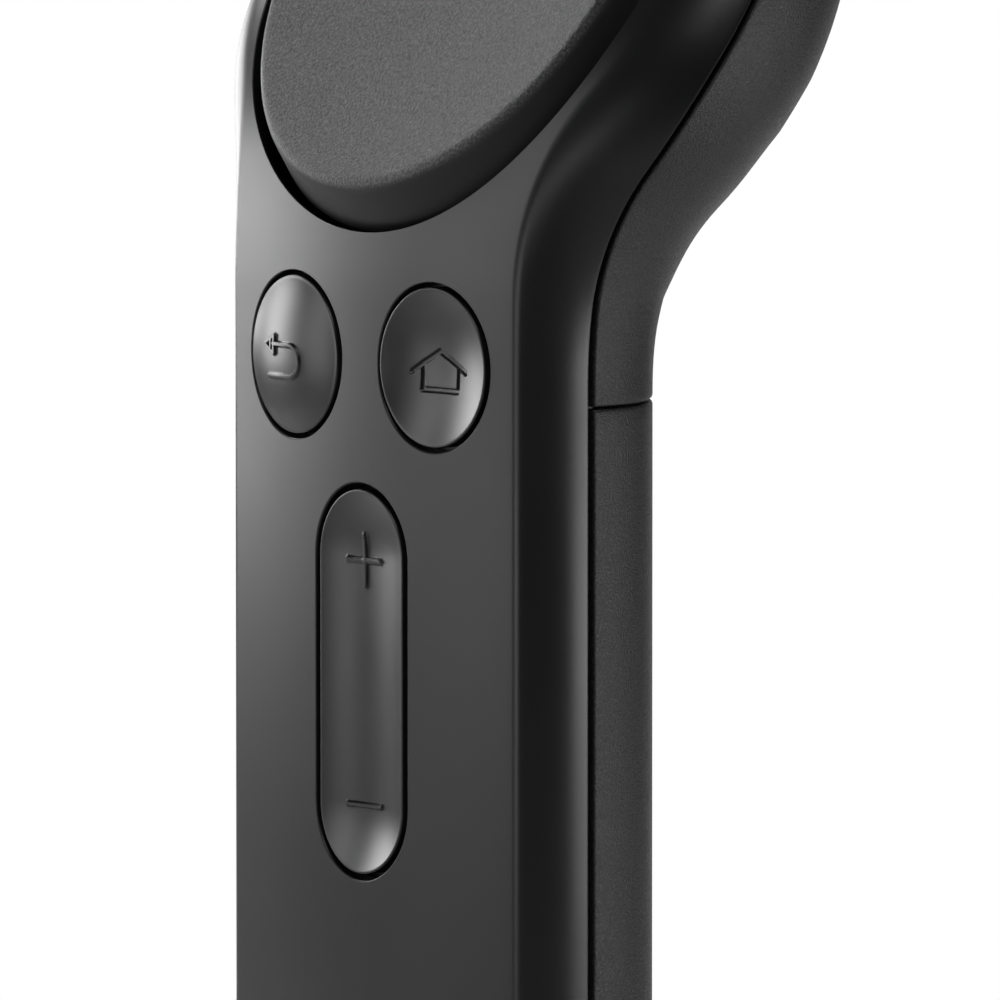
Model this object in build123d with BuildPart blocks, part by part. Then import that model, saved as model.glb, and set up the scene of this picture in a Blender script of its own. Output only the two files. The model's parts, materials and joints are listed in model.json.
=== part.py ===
from build123d import *
import math
import os

os.makedirs("parts", exist_ok=True)

# A one-handed motion controller: a slim handle that stands on its flat base end, with a
# round head that leans back and carries a touch pad in front and a trigger behind.
# Origin: centre of the base end. +Z runs up the handle, -Y is the face, +X is the right
# hand side seen from the face. Sections are drawn across a line that runs up the middle
# of the face: x is the width and y is the depth behind the face. A place along that line,
# measured from the base end, is called a station. All lengths are in millimetres.

# Face line and outline
button_height = 64.8
bend_rise = 3.9
bend_radius = 35.5
head_lean = 31.0
head_rise = 26.7
handle_depth = 16.8
head_depth = 20.94
crown_radius = 97.0
crease_half = 14.19
crease_radius = 19.49
seam_half = 16.09
seam_radius = 24.07
seam_depth = 5.4
neck_radius = 27.0
side_bulge = 0.5
end_round = 3.0
end_steps = 4

# Walls, gaps and fits
front_wall = 1.4
rear_wall = 1.2
cover_wall = 1.0
end_wall = 2.0
split_gap = 0.4
cover_gap = 0.34
cover_drop = 2.05
lip_wall = 0.6
lip_reach = 1.2
fit_gap = 0.1
seat_gap = 0.05
overrun = 2.0

# Touch pad and its boards
pad_opening = 18.4
pad_edge = 16.71
pad_waist = 18.0
pad_recess = 0.55
pad_flare = 3.0
pad_dish = 1.0
pad_roof = 2.7
pad_skirt = 1.2
pad_flange = 19.0
pad_flange_depth = 5.0
pad_flange_thickness = 0.6
pad_travel = 0.35
pad_edge_round = 0.35
collar_radius = 19.5
collar_length = 2.85
collar_cut = 13.0
sensor_thickness = 0.8
pad_board_radius = 18.0
pad_board_depth = 7.2
pad_board_thickness = 0.8
pad_switch_size = 5.2

# Head frame
frame_inset = 2.37
frame_thickness = 1.2
frame_flat = 16.0
frame_shoulder = 7.0
boss_inset = 3.62
frame_boss_radius = 1.15
frame_screw_radius = 0.6
frame_screw_head = 1.3
frame_screw_sink = 0.7
frame_screw_length = 4.0
frame_screw_angles = (90, 195, 345)

# Round buttons
button_spread = 6.95
button_hole = 5.0
button_radius = 4.68
button_travel = 0.25
button_flange = 5.35
button_flange_thickness = 0.35
button_rim = 0.2
button_roof = 0.95
button_skirt = 0.9
button_stem = 1.1
back_dome = 0.45
home_dish = 0.45
button_edge_rise = 0.15

# Volume rocker
rocker_drop = 19.4
rocker_slot_width = 8.97
rocker_slot_length = 23.9
rocker_gap = 0.3
rocker_lip = 0.45
rocker_lip_thickness = 0.4
rocker_tilt = 1.5
rocker_dish = 0.35
rocker_roof = 0.8
rocker_skirt = 1.0
rocker_rib = 0.6
rocker_rib_width = 5.0
rocker_key_inset = 3.95

# Main board, its switches and its lamp
board_depth = 2.8
board_thickness = 0.7
board_half_width = 11.0
board_bottom = 17.0
board_top_rise = 4.8
dome_radius = 2.0
dome_height = 0.35
shield_width = 14.0
shield_length = 6.0
shield_height = 1.6
shield_drop = 6.4
lamp_height = 19.8
lamp_lens = 0.75
lamp_flange = 1.4
lamp_flange_thickness = 0.5
lamp_chip = 1.6
lamp_chip_height = 0.5
flex_width = 8.0
flex_thickness = 0.15
flex_overlap = 4.0
flex_bend = 5.0
flex_reach = 4.4

# Battery bay
cell_diameter = 10.3
cell_length = 44.5
cell_pitch = 10.6
cell_gap = 0.1
cell_nub_radius = 1.9
cell_nub_height = 1.0
cell_edge = 0.4
cell_spring_length = 3.8
contact_thickness = 0.3
contact_width = 8.6
contact_height = 6.1
cell_spring_base = 3.0
cell_spring_tip = 2.2
cell_spring_wire = 0.5
tray_floor = 0.7
tray_side = 0.9
tray_side_depth = 7.8
tray_flange = 1.45
tray_flange_thickness = 0.8
tray_flange_margin = 3.0
tray_bottom_wall = 1.2
tray_top_wall = 1.5
tray_wall_depth = 12.5
strap_room = 4.0
strap_hole = 1.2
strap_rim = 0.4
strap_notch = 4.4
strap_post = 1.0
strap_post_offset = 4.2
strap_post_length = 4.0
hook_thickness = 0.7
hook_foot = 0.8
hook_length = 8.0
hook_margin = 4.0
hook_gap = 0.2
tongue_width = 4.4
tongue_reach = 1.7
thumb_radius = 26.0
thumb_sink = 0.35
thumb_drop = 9.0

# Case screws and the rear housing's ears
screw_radius = 0.85
screw_head = 1.6
screw_head_height = 1.1
boss_radius = 1.7
upper_screw_spread = 11.8
upper_screw_drop = 3.34
lower_screw_spread = 8.5
lower_screw_height = 4.3
ear_thickness = 1.2
ear_rise = 3.0
ear_web = 1.5
tab_margin = 0.1

# Trigger
pivot_inset = 8.57
pivot_depth = 11.5
trigger_half_width = 6.3
trigger_sweep = 10.65
trigger_gap = 0.35
trigger_boss = 2.0
trigger_back = 1.16
trigger_skin = 1.5
trigger_rib = 2.3
pin_radius = 1.0
pin_play = 0.05
pin_ear = 1.4
pin_ear_radius = 2.2
spring_drop = 6.6
spring_radius = 1.9
spring_wire = 0.5
spring_post = 1.1
spring_length = 4.0
switch_drop = 8.6
switch_offset = 4.0
trigger_board_width = 4.0
trigger_board_height = 6.0
trigger_board_thickness = 0.6
trigger_switch_size = 3.0
trigger_switch_height = 1.2

# Outline of the trigger as shares of its sweep, from its pivot: (back, up)
trigger_top_shares = (0.389, 0.279)
trigger_shoulder_shares = ((0.548, 0.204), (0.642, 0.035))
trigger_finger_shares = ((0.764, -0.378), (1.065, -0.651))
trigger_tip_shares = ((1.137, -0.716), (1.084, -0.792))
trigger_under_share = (0.83, -0.726)
trigger_under_angle = -52.0
pocket_back_shares = ((-0.2, -0.6), (0.5, -0.6), (0.8, -0.54))
pocket_front_shares = ((0.6, -0.36), (0.46, -0.02), (0.3, -0.12), (-0.2, -0.3))

# How far the neck's sections lie below the head's centre, as shares of the neck, and how
# far the back has risen at each, as shares of its rise from the handle to the head
neck_station_shares = (1.0, 0.87, 0.72, 0.546, 0.372, 0.198, 0.0)
back_rise_shares = (0.0, 0.067, 0.369, 0.578, 0.738, 0.835, 1.0)

# Heights and depths that follow from them
face_y = -handle_depth / 2
split_height = button_height - cover_drop
head_station = button_height + head_rise
bend_station = button_height + bend_rise
front_level = seam_depth - split_gap / 2
rear_level = seam_depth + split_gap / 2
lip_inset = rear_wall + fit_gap
board_back = board_depth + board_thickness
floor_back = board_back + seat_gap + tray_floor
cell_depth = floor_back + cell_gap + cell_diameter / 2
rocker_height = button_height - rocker_drop
rocker_key_spread = rocker_slot_length / 2 - rocker_key_inset
dome_top = board_depth - dome_height


def lean_at(station):
    """Angle by which the face leans back at a station: it grows along the bend, then stays."""
    turned = math.degrees(max(station - bend_station, 0) / bend_radius)
    return min(turned, head_lean)


def face_point(station):
    """y and z of the face's middle line: upright, then an arc, then straight up the head."""
    lean = math.radians(lean_at(station))
    beyond = station - bend_station - bend_radius * lean
    run = max(beyond, 0)
    upright = min(station, bend_station)
    y = face_y + bend_radius * (1 - math.cos(lean)) + run * math.sin(lean)
    z = upright + bend_radius * math.sin(lean) + run * math.cos(lean)
    return y, z


def section_plane(station):
    """Plane across the face line, whose local y runs from the face to the back."""
    y, z = face_point(station)
    lean = math.radians(lean_at(station))
    return Plane(origin=(0, y, z), x_dir=(1, 0, 0), z_dir=(0, math.sin(lean), math.cos(lean)))


def head_spot(rise, depth):
    """y and z of a place in the head, from its centre: rise up the face and depth behind it."""
    y, z = face_point(head_station)
    lean = math.radians(head_lean)
    back = y + rise * math.sin(lean) + depth * math.cos(lean)
    up = z + rise * math.cos(lean) - depth * math.sin(lean)
    return back, up


def head_plane(depth):
    """Plane across the head's axis at a depth behind the face; its normal points out of the pad."""
    lean = math.radians(head_lean)
    out = (0, -math.cos(lean), math.sin(lean))
    return Plane(origin=(0, *head_spot(0, depth)), x_dir=(1, 0, 0), z_dir=out)


def crown(x):
    """Depth by which the face falls away at a distance from its middle line."""
    return crown_radius - math.sqrt(crown_radius**2 - x**2)


def half_width(station, head, handle, inset):
    """Half width of an outline: the head's circle runs into the handle's side by a hollow arc."""
    head, handle, hollow = head - inset, handle - inset, neck_radius + inset
    below = head_station - station
    reach = math.sqrt((head + hollow) ** 2 - (handle + hollow) ** 2)
    if below <= reach * head / (head + hollow):
        return math.sqrt(head**2 - below**2)
    if below >= reach:
        return handle
    return handle + hollow - math.sqrt(hollow**2 - (reach - below) ** 2)


wall_run = split_height - end_wall - end_round
neck_length = head_station - split_height
neck_stations = [head_station - neck_length * share for share in neck_station_shares]
back_depths = [handle_depth + (head_depth - handle_depth) * share for share in back_rise_shares]


def back_depth(station):
    """Depth of the back at a station: the handle's, or the one listed for a neck section."""
    return dict(zip(neck_stations, back_depths)).get(station, handle_depth)


def front_side(station, crease_inset, seam_inset):
    """Crease, middle of the swelling side and seam of one side of the front shell."""
    crease = half_width(station, crease_radius, crease_half, crease_inset)
    seam = half_width(station, seam_radius, seam_half, seam_inset)
    edge = crease_inset + crown(crease)
    run, fall = seam - crease, front_level - edge
    slope = math.hypot(run, fall)
    out, forward = side_bulge * fall / slope, side_bulge * run / slope
    middle = ((crease + seam) / 2 + out, (edge + front_level) / 2 - forward)
    return (crease, edge), middle, (seam, front_level)


def mirrored(points):
    """The same points on the left side, in the opposite order."""
    return [(-x, y) for x, y in reversed(points)]


def front_wall_section(station, half=False):
    """Section of the front shell's wall: crowned face, swelling sides and the lip inside the seam."""
    outer = front_side(station, 0, 0)
    inner = front_side(station, front_wall, lip_inset + lip_wall)
    seam, inside = outer[2][0], inner[2][0]
    tip = front_level + lip_reach
    step = [outer[2], (seam - lip_inset, front_level), (seam - lip_inset, tip), (inside, tip), inner[2]]
    with BuildSketch(section_plane(station)) as section:
        with BuildLine():
            ThreePointArc(*outer)
            Polyline(*step)
            ThreePointArc(*reversed(inner))
            if half:
                for inset, (x, y) in ((0, outer[0]), (front_wall, inner[0])):
                    ThreePointArc((0, inset), (x / 2, inset + crown(x / 2)), (x, y))
                Line((0, 0), (0, front_wall))
            else:
                ThreePointArc((-outer[0][0], outer[0][1]), (0, 0), outer[0])
                ThreePointArc((-inner[0][0], inner[0][1]), (0, front_wall), inner[0])
                ThreePointArc(*mirrored(outer))
                ThreePointArc(*[(-x, y) for x, y in inner])
                Polyline(*mirrored(step))
        make_face()
    return section.sketch


def front_end_section(inset, seam_inset=None):
    """Closed section of the front shell near the base end, out to its seam, or of its hollow there."""
    outer = front_side(0, inset, inset if seam_inset is None else seam_inset)
    with BuildSketch(section_plane(0)) as section:
        with BuildLine():
            ThreePointArc(*outer)
            Line(outer[2], (-outer[2][0], front_level))
            ThreePointArc(*mirrored(outer))
            ThreePointArc((-outer[0][0], outer[0][1]), (0, inset), outer[0])
        make_face()
    return section.sketch


def rear_wall_section(station, wall, half=False):
    """Section of a rear shell's wall: half an ellipse behind the seam, with an even wall."""
    seam = half_width(station, seam_radius, seam_half, 0)
    reach = back_depth(station) - rear_level
    sweep = 90 if half else 180
    with BuildSketch(section_plane(station)) as section:
        with BuildLine():
            EllipticalCenterArc((0, rear_level), seam, reach, 0, arc_size=sweep)
            EllipticalCenterArc((0, rear_level), seam - wall, reach - wall, 0, arc_size=sweep)
            Line((seam - wall, rear_level), (seam, rear_level))
            if half:
                Line((0, rear_level + reach - wall), (0, rear_level + reach))
            else:
                Line((wall - seam, rear_level), (-seam, rear_level))
        make_face()
    return section.sketch


def rear_end_section(wall):
    """Closed section of the battery cover near the base end, or of its hollow there."""
    half, reach = seam_half - wall, handle_depth - rear_level - wall
    with BuildSketch(section_plane(0)) as section:
        with BuildLine():
            EllipticalCenterArc((0, rear_level), half, reach, 0, arc_size=180)
            Line((-half, rear_level), (half, rear_level))
        make_face()
    return section.sketch


def neck_and_head(draw):
    """Wall whose drawn section runs up the neck and is then turned about the head's axis."""
    with BuildPart() as form:
        loft([draw(station) for station in neck_stations])
        axis = Axis(head_plane(0).origin, head_plane(0).z_dir)
        revolve(draw(head_station, half=True), axis=axis, revolution_arc=180)
    return form.part


def closed_end(section, hollow):
    """Base end of a shell: sections that widen along a quarter circle, hollow above the end wall."""
    turns = [math.radians(90 * step / end_steps) for step in range(end_steps + 1)]
    insets = [end_round * (1 - math.sin(turn)) for turn in turns]
    heights = [end_round * (1 - math.cos(turn)) for turn in turns]
    with BuildPart() as form:
        loft([section(inset).moved(Location((0, 0, z))) for inset, z in zip(insets, heights)], ruled=True)
        extrude(section(0).moved(Location((0, 0, end_round))), amount=end_wall)
        extrude(hollow.moved(Location((0, 0, end_wall))), amount=end_round, mode=Mode.SUBTRACT)
    return form.part


def face_y_at(depth):
    """y of a depth behind the handle's face."""
    return face_y + depth


def slab(width, height, thickness, x, z, depth):
    """Box that lies along the handle's face: its middle, and the depth of its front."""
    with Locations((x, face_y_at(depth + thickness / 2), z)):
        Box(width, thickness, height)


def rod(radius, x, z, front, back, mode=Mode.ADD):
    """Round rod square to the handle's face, from one depth to another."""
    with Locations(Location((x, face_y_at((front + back) / 2), z), (90, 0, 0))):
        Cylinder(radius, back - front, mode=mode)


upper_screw_height = split_height - upper_screw_drop
case_screws_at = [
    (-upper_screw_spread, upper_screw_height),
    (upper_screw_spread, upper_screw_height),
    (-lower_screw_spread, lower_screw_height),
    (lower_screw_spread, lower_screw_height),
]
boss_circle = seam_radius - boss_inset
frame_radius = seam_radius - frame_inset
pivot_rise = seam_radius - pivot_inset
frame_turns = [math.radians(angle) for angle in frame_screw_angles]
frame_screws_at = [(boss_circle * math.cos(turn), boss_circle * math.sin(turn)) for turn in frame_turns]
boss_back = board_back + seat_gap
frame_depth = pad_board_depth + pad_board_thickness
frame_back = frame_depth + frame_thickness
pad_flange_front = pad_recess + pad_flange_depth
strap_depth = front_level - strap_rim - strap_hole


def button_plane(side):
    """Plane on the face at a round button; its normal points straight out of the face."""
    x = side * button_spread
    tilt = math.asin(x / crown_radius)
    spot = (x, face_y_at(crown(x)), button_height)
    x_dir, z_dir = (math.cos(tilt), math.sin(tilt), 0), (math.sin(tilt), -math.cos(tilt), 0)
    return Plane(origin=spot, x_dir=x_dir, z_dir=z_dir)


def flat_disc(radius, flat, back, thickness):
    """Disc across the head's axis, cut straight below a fall of its rim; back is its back's depth."""
    with BuildSketch(head_plane(back)) as shape:
        Circle(radius)
        with Locations((0, -flat - radius)):
            Rectangle(2 * radius, 2 * radius, mode=Mode.SUBTRACT)
    extrude(shape.sketch, amount=thickness)


# Front shell: face, sides and base end, with the collar that holds the pad in
with BuildPart() as front_shell:
    add(closed_end(front_end_section, front_end_section(front_wall, lip_inset + lip_wall)))
    extrude(front_wall_section(0).moved(Location((0, 0, end_wall + end_round))), amount=wall_run)
    add(neck_and_head(front_wall_section))
    flat_disc(collar_radius, collar_cut, pad_flange_front - fit_gap, collar_length)
    for x, z in case_screws_at:
        rod(boss_radius, x, z, crown(x) + front_wall / 2, boss_back)
    with BuildSketch(head_plane(frame_depth)):
        with Locations(*frame_screws_at):
            Circle(frame_boss_radius)
    extrude(amount=frame_depth - front_wall - crown(boss_circle))
    with BuildSketch(head_plane(pad_flange_front)):
        Circle(pad_opening)
    extrude(amount=pad_flange_front + overrun, mode=Mode.SUBTRACT)
    for side in (-1, 1):
        with BuildSketch(button_plane(side).offset(-front_wall * 2)):
            Circle(button_hole)
        extrude(amount=front_wall * 2 + overrun, mode=Mode.SUBTRACT)
    with BuildSketch(Plane.XZ.offset(-face_y_at(front_wall * 2))):
        with Locations((0, rocker_height)):
            SlotOverall(rocker_slot_length, rocker_slot_width, rotation=90)
    extrude(amount=front_wall * 2 + overrun, mode=Mode.SUBTRACT)
    rod(lamp_lens + seat_gap, 0, lamp_height, -overrun, front_wall * 2, mode=Mode.SUBTRACT)
    for x, z in case_screws_at:
        rod(screw_radius + fit_gap / 2, x, z, crown(x) + front_wall, boss_back + overrun, mode=Mode.SUBTRACT)
    with BuildSketch(head_plane(frame_depth)):
        with Locations(*frame_screws_at):
            Circle(frame_screw_radius + fit_gap / 2)
    extrude(amount=frame_screw_length, mode=Mode.SUBTRACT)
    with BuildSketch(Plane.XY):
        with Locations((0, face_y_at(strap_depth))):
            Circle(strap_hole)
    extrude(amount=end_wall, mode=Mode.SUBTRACT)
front_shell.part.label = "front_shell"
export_step(front_shell.part, "parts/front_shell.step")

# Rear housing: the back of the head and neck, with the trigger's opening and two screw ears
pivot_y, pivot_z = head_spot(pivot_rise, pivot_depth)


def at_sweep(shares):
    """A place on the trigger, given as shares of its sweep from the pivot."""
    return pivot_y + shares[0] * trigger_sweep, pivot_z + shares[1] * trigger_sweep


def swept(angle, radius):
    """A place at an angle and distance from the pivot, seen from the right hand side."""
    turn = math.radians(angle)
    return pivot_y + radius * math.cos(turn), pivot_z + radius * math.sin(turn)


opening_top = at_sweep(trigger_top_shares)[1] + trigger_gap
opening_radius = trigger_sweep + trigger_gap
ear_back = floor_back + ear_thickness
ear_top = split_height + ear_rise
ear_bottom = upper_screw_height - screw_head - tab_margin
ear_root = split_height + cover_gap
ear_width = 2 * (boss_radius - fit_gap)
web_front = rear_level + lip_reach + fit_gap

with BuildPart() as rear_housing:
    add(neck_and_head(lambda station, half=False: rear_wall_section(station, rear_wall, half)))
    split(bisect_by=Plane.XY.offset(split_height + cover_gap / 2), keep=Keep.TOP)
    with BuildSketch(Plane.YZ):
        with BuildLine():
            corner = (pivot_y + opening_radius, opening_top)
            Polyline(swept(-90, opening_radius), (pivot_y, opening_top), corner, swept(0, opening_radius))
            ThreePointArc(swept(0, opening_radius), swept(-45, opening_radius), swept(-90, opening_radius))
        make_face()
    extrude(amount=trigger_half_width + trigger_gap, both=True, mode=Mode.SUBTRACT)
    for side in (-1, 1):
        x = side * upper_screw_spread
        slab(ear_width, ear_top - ear_bottom, ear_thickness, x, (ear_top + ear_bottom) / 2, floor_back)
        block = web_front + ear_web - floor_back
        slab(ear_width, ear_top - ear_root, block, x, (ear_top + ear_root) / 2, floor_back)
        reach = seam_half - rear_wall / 2 - upper_screw_spread
        middle = side * (upper_screw_spread + reach / 2)
        slab(reach, ear_top - ear_root, ear_web, middle, (ear_top + ear_root) / 2, web_front)
    for x, z in case_screws_at[:2]:
        rod(screw_radius + fit_gap / 2, x, z, floor_back - seat_gap, ear_back + seat_gap, mode=Mode.SUBTRACT)
rear_housing.part.label = "rear_housing"
export_step(rear_housing.part, "parts/rear_housing.step")

# Battery bay heights, from the base end up, and its widths
bay_floor = end_wall + strap_room
bridge_bottom = bay_floor + tray_bottom_wall
bridge_top = bridge_bottom + contact_thickness
contact_bottom = bridge_top + cell_spring_length + cell_length
contact_top = contact_bottom + contact_thickness
tray_top = contact_top + tray_top_wall
side_inner = (cell_pitch + cell_diameter) / 2 + cell_gap
side_outer = side_inner + tray_side
flange_front = tray_side_depth - tray_flange_thickness
flange_bottom = bay_floor + tray_flange_margin
flange_top = tray_top - tray_flange_margin
cover_top = split_height - cover_gap / 2

# Battery cover: slides down off the handle, hooked under the battery tray's two flanges
foot_back = flange_front - hook_gap
foot_front = foot_back - hook_foot
foot_width = tray_flange + hook_thickness
hook_outer = side_outer + tray_flange + hook_gap + hook_thickness
hook_back = (rear_level + handle_depth) / 2
hook_heights = (flange_bottom + hook_margin, flange_top - hook_margin)
tongue_back = handle_depth - rear_wall - hook_gap - fit_gap
thumb_y = face_y_at(handle_depth) + thumb_radius - thumb_sink

with BuildPart() as battery_cover:
    add(closed_end(rear_end_section, rear_end_section(cover_wall)))
    wall_bottom = end_wall + end_round
    wall = rear_wall_section(0, cover_wall).moved(Location((0, 0, wall_bottom)))
    extrude(wall, amount=cover_top - wall_bottom)
    for side in (-1, 1):
        for z in hook_heights:
            wall_x, foot_x = hook_outer - hook_thickness / 2, hook_outer - foot_width / 2
            slab(hook_thickness, hook_length, hook_back - foot_front, side * wall_x, z, foot_front)
            slab(foot_width, hook_length, hook_foot, side * foot_x, z, foot_front)
    slab(tongue_width, 2 * tongue_reach, cover_wall, 0, cover_top, tongue_back - cover_wall)
    slab(tongue_width, tongue_reach, cover_wall, 0, cover_top - tongue_reach / 2, tongue_back)
    with Locations((0, thumb_y, cover_top - thumb_drop)):
        Sphere(thumb_radius, mode=Mode.SUBTRACT)
battery_cover.part.label = "battery_cover"
export_step(battery_cover.part, "parts/battery_cover.step")

# Battery tray: floor, end walls, sides with flanges, the strap post and the screw tabs
tray_bottom = end_wall + fit_gap
tab_bottom = tray_top - ear_width

with BuildPart() as battery_tray:
    slab(2 * side_outer, tray_top - tray_bottom, tray_floor, 0, (tray_top + tray_bottom) / 2, boss_back)
    for x, z in case_screws_at[:2]:
        slab(ear_width, cover_top - tab_bottom, tray_floor, x, (cover_top + tab_bottom) / 2, boss_back)
    wall_height = tray_wall_depth - boss_back
    slab(2 * side_inner, tray_bottom_wall, wall_height, 0, bay_floor + tray_bottom_wall / 2, boss_back)
    slab(2 * side_inner, tray_top_wall, wall_height, 0, contact_top + tray_top_wall / 2, boss_back)
    for side in (-1, 1):
        x, middle = side * (side_inner + tray_side / 2), (tray_top + bay_floor) / 2
        slab(tray_side, tray_top - bay_floor, tray_side_depth - boss_back, x, middle, boss_back)
        x, middle = side * (side_outer + tray_flange / 2), (flange_top + flange_bottom) / 2
        slab(tray_flange, flange_top - flange_bottom, tray_flange_thickness, x, middle, flange_front)
    with Locations((0, face_y_at(boss_back + tray_floor / 2), end_wall)):
        Box(strap_notch, 2 * tray_floor, 2 * strap_room, mode=Mode.SUBTRACT)
    rod(strap_post, strap_post_offset, end_wall + strap_room / 2, boss_back, floor_back + strap_post_length)
    for x, z in case_screws_at:
        rod(screw_radius + fit_gap / 2, x, z, boss_back - seat_gap, floor_back + seat_gap, mode=Mode.SUBTRACT)
battery_tray.part.label = "battery_tray"
export_step(battery_tray.part, "parts/battery_tray.step")

# Case screws: two through the ears, two through the tray's foot
with BuildPart() as case_screws:
    for (x, z), seat in zip(case_screws_at, (ear_back, ear_back, floor_back, floor_back)):
        rod(screw_head, x, z, seat, seat + screw_head_height)
        rod(screw_radius, x, z, crown(x) + front_wall + fit_gap, seat)
case_screws.part.label = "case_screws"
export_step(case_screws.part, "parts/case_screws.step")

# Cells, side by side and head to tail, between springs and plates
cell_x = cell_pitch / 2
cell_y = face_y_at(cell_depth)
left_bottom = bridge_top + cell_spring_length


def cell(x, bottom, up):
    """Round cell with softened ends, whose nub points up or down."""
    body_length = cell_length - cell_nub_height
    body_bottom, nub_bottom = (bottom, bottom + body_length) if up else (bottom + cell_nub_height, bottom)
    with BuildPart() as made:
        with Locations((x, cell_y, body_bottom + body_length / 2)):
            Cylinder(cell_diameter / 2, body_length)
        fillet(made.edges().filter_by(GeomType.CIRCLE), cell_edge)
        with Locations((x, cell_y, nub_bottom + cell_nub_height / 2)):
            Cylinder(cell_nub_radius, cell_nub_height)
    return made.part


cell_left = cell(-cell_x, left_bottom, True)
cell_left.label = "cell_left"
export_step(cell_left, "parts/cell_left.step")

cell_right = cell(cell_x, bridge_top, False)
cell_right.label = "cell_right"
export_step(cell_right, "parts/cell_right.step")

# Contact plates at both ends of the bay
contact_front = cell_depth - contact_height / 2
contact_middle = (contact_bottom + contact_top) / 2
bridge_middle = (bridge_bottom + bridge_top) / 2

with BuildPart() as contact_bridge:
    slab(cell_pitch + contact_width, contact_thickness, contact_height, 0, bridge_middle, contact_front)
contact_bridge.part.label = "contact_bridge"
export_step(contact_bridge.part, "parts/contact_bridge.step")

with BuildPart() as contact_positive:
    slab(contact_width, contact_thickness, contact_height, -cell_x, contact_middle, contact_front)
contact_positive.part.label = "contact_positive"
export_step(contact_positive.part, "parts/contact_positive.step")

with BuildPart() as contact_negative:
    slab(contact_width, contact_thickness, contact_height, cell_x, contact_middle, contact_front)
contact_negative.part.label = "contact_negative"
export_step(contact_negative.part, "parts/contact_negative.step")


def cell_spring(x, base, tip):
    """Room that a tapering contact spring takes up: wide on its plate and narrow at the cell."""
    base_hollow, tip_hollow = cell_spring_base - cell_spring_wire, cell_spring_tip - cell_spring_wire
    with BuildSketch(Plane.XZ.offset(-cell_y)) as profile:
        with BuildLine():
            inner = [(x + tip_hollow, tip), (x + base_hollow, base)]
            Polyline((x + cell_spring_base, base), (x + cell_spring_tip, tip), *inner, close=True)
        make_face()
    return revolve(profile.sketch, axis=Axis((x, cell_y, 0), (0, 0, 1)))


with BuildPart() as bottom_spring:
    add(cell_spring(-cell_x, bridge_top, left_bottom))
bottom_spring.part.label = "bottom_spring"
export_step(bottom_spring.part, "parts/bottom_spring.step")

with BuildPart() as top_spring:
    add(cell_spring(cell_x, contact_bottom, bridge_top + cell_length))
top_spring.part.label = "top_spring"
export_step(top_spring.part, "parts/top_spring.step")

# Main board, with notches that clear the upper screw bosses
board_top = button_height + board_top_rise

with BuildPart() as main_board:
    board_height, middle = board_top - board_bottom, (board_top + board_bottom) / 2
    slab(2 * board_half_width, board_height, board_thickness, 0, middle, board_depth)
    for x, z in case_screws_at[:2]:
        notch = boss_radius + split_gap / 2
        rod(notch, x, z, board_depth - seat_gap, board_back + seat_gap, mode=Mode.SUBTRACT)
main_board.part.label = "main_board"
export_step(main_board.part, "parts/main_board.step")

with BuildPart() as radio_shield:
    middle = button_height - shield_drop + shield_length / 2
    slab(shield_width, shield_length, shield_height, 0, middle, board_back)
    fillet(radio_shield.edges().filter_by(Axis.Y), dome_height)
radio_shield.part.label = "radio_shield"
export_step(radio_shield.part, "parts/radio_shield.step")

# Dome switches on the main board, under the round buttons and the rocker's two ends
dome_places = {
    "back_switch": (-button_spread, button_height),
    "home_switch": (button_spread, button_height),
    "volume_up_switch": (0, rocker_height + rocker_key_spread),
    "volume_down_switch": (0, rocker_height - rocker_key_spread),
}
for name, (x, z) in dome_places.items():
    with BuildPart() as dome_switch:
        rod(dome_radius, x, z, dome_top, board_depth)
        chamfer(dome_switch.faces().sort_by(Axis.Y)[0].edges(), dome_height / 2)
    dome_switch.part.label = name
    export_step(dome_switch.part, f"parts/{name}.step")

# Status lamp and its light pipe, low on the face
with BuildPart() as status_lamp:
    slab(lamp_chip, lamp_chip, lamp_chip_height, 0, lamp_height, board_depth - lamp_chip_height)
status_lamp.part.label = "status_lamp"
export_step(status_lamp.part, "parts/status_lamp.step")

with BuildPart() as light_pipe:
    rod(lamp_lens, 0, lamp_height, seat_gap, board_depth - lamp_chip_height - fit_gap)
    rod(lamp_flange, 0, lamp_height, front_wall + seat_gap, front_wall + seat_gap + lamp_flange_thickness)
light_pipe.part.label = "light_pipe"
export_step(light_pipe.part, "parts/light_pipe.step")


def round_button(side, dome):
    """Round button with a dome or, below zero, a dish; a hollow underside, a stem and a flange."""
    plane = button_plane(side)
    flange_front = front_wall + crown(button_flange) + seat_gap
    flange_back = flange_front + button_flange_thickness
    stem_end = dome_top - crown(button_spread) - button_travel - fit_gap
    ball = ((button_radius - button_rim) ** 2 + dome**2) / (2 * dome)
    with BuildPart() as made:
        with BuildSketch(plane.offset(-flange_back)) as flange:
            Circle(button_flange)
        extrude(flange.sketch, amount=button_flange_thickness)
        with BuildSketch(plane.offset(-flange_front)) as cap:
            Circle(button_radius)
        extrude(cap.sketch, amount=flange_front + button_edge_rise)
        if dome > 0:
            with BuildPart(mode=Mode.PRIVATE) as crest:
                with Locations(plane.offset(button_edge_rise + dome - ball).location):
                    Sphere(ball)
                split(bisect_by=plane.offset(button_edge_rise), keep=Keep.TOP)
            add(crest.part)
        else:
            with Locations(plane.offset(button_edge_rise + dome - ball).location):
                Sphere(-ball, mode=Mode.SUBTRACT)
        with BuildSketch(plane.offset(-flange_back)) as hollow:
            Circle(button_radius - button_skirt)
            Circle(button_stem, mode=Mode.SUBTRACT)
        extrude(hollow.sketch, amount=flange_back - button_roof, mode=Mode.SUBTRACT)
        with BuildSketch(plane.offset(-stem_end)) as stem:
            Circle(button_stem + fit_gap)
        extrude(stem.sketch, amount=-button_travel, mode=Mode.SUBTRACT)
    return made.part


back_button = round_button(-1, back_dome)
back_button.label = "back_button"
export_step(back_button, "parts/back_button.step")

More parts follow.
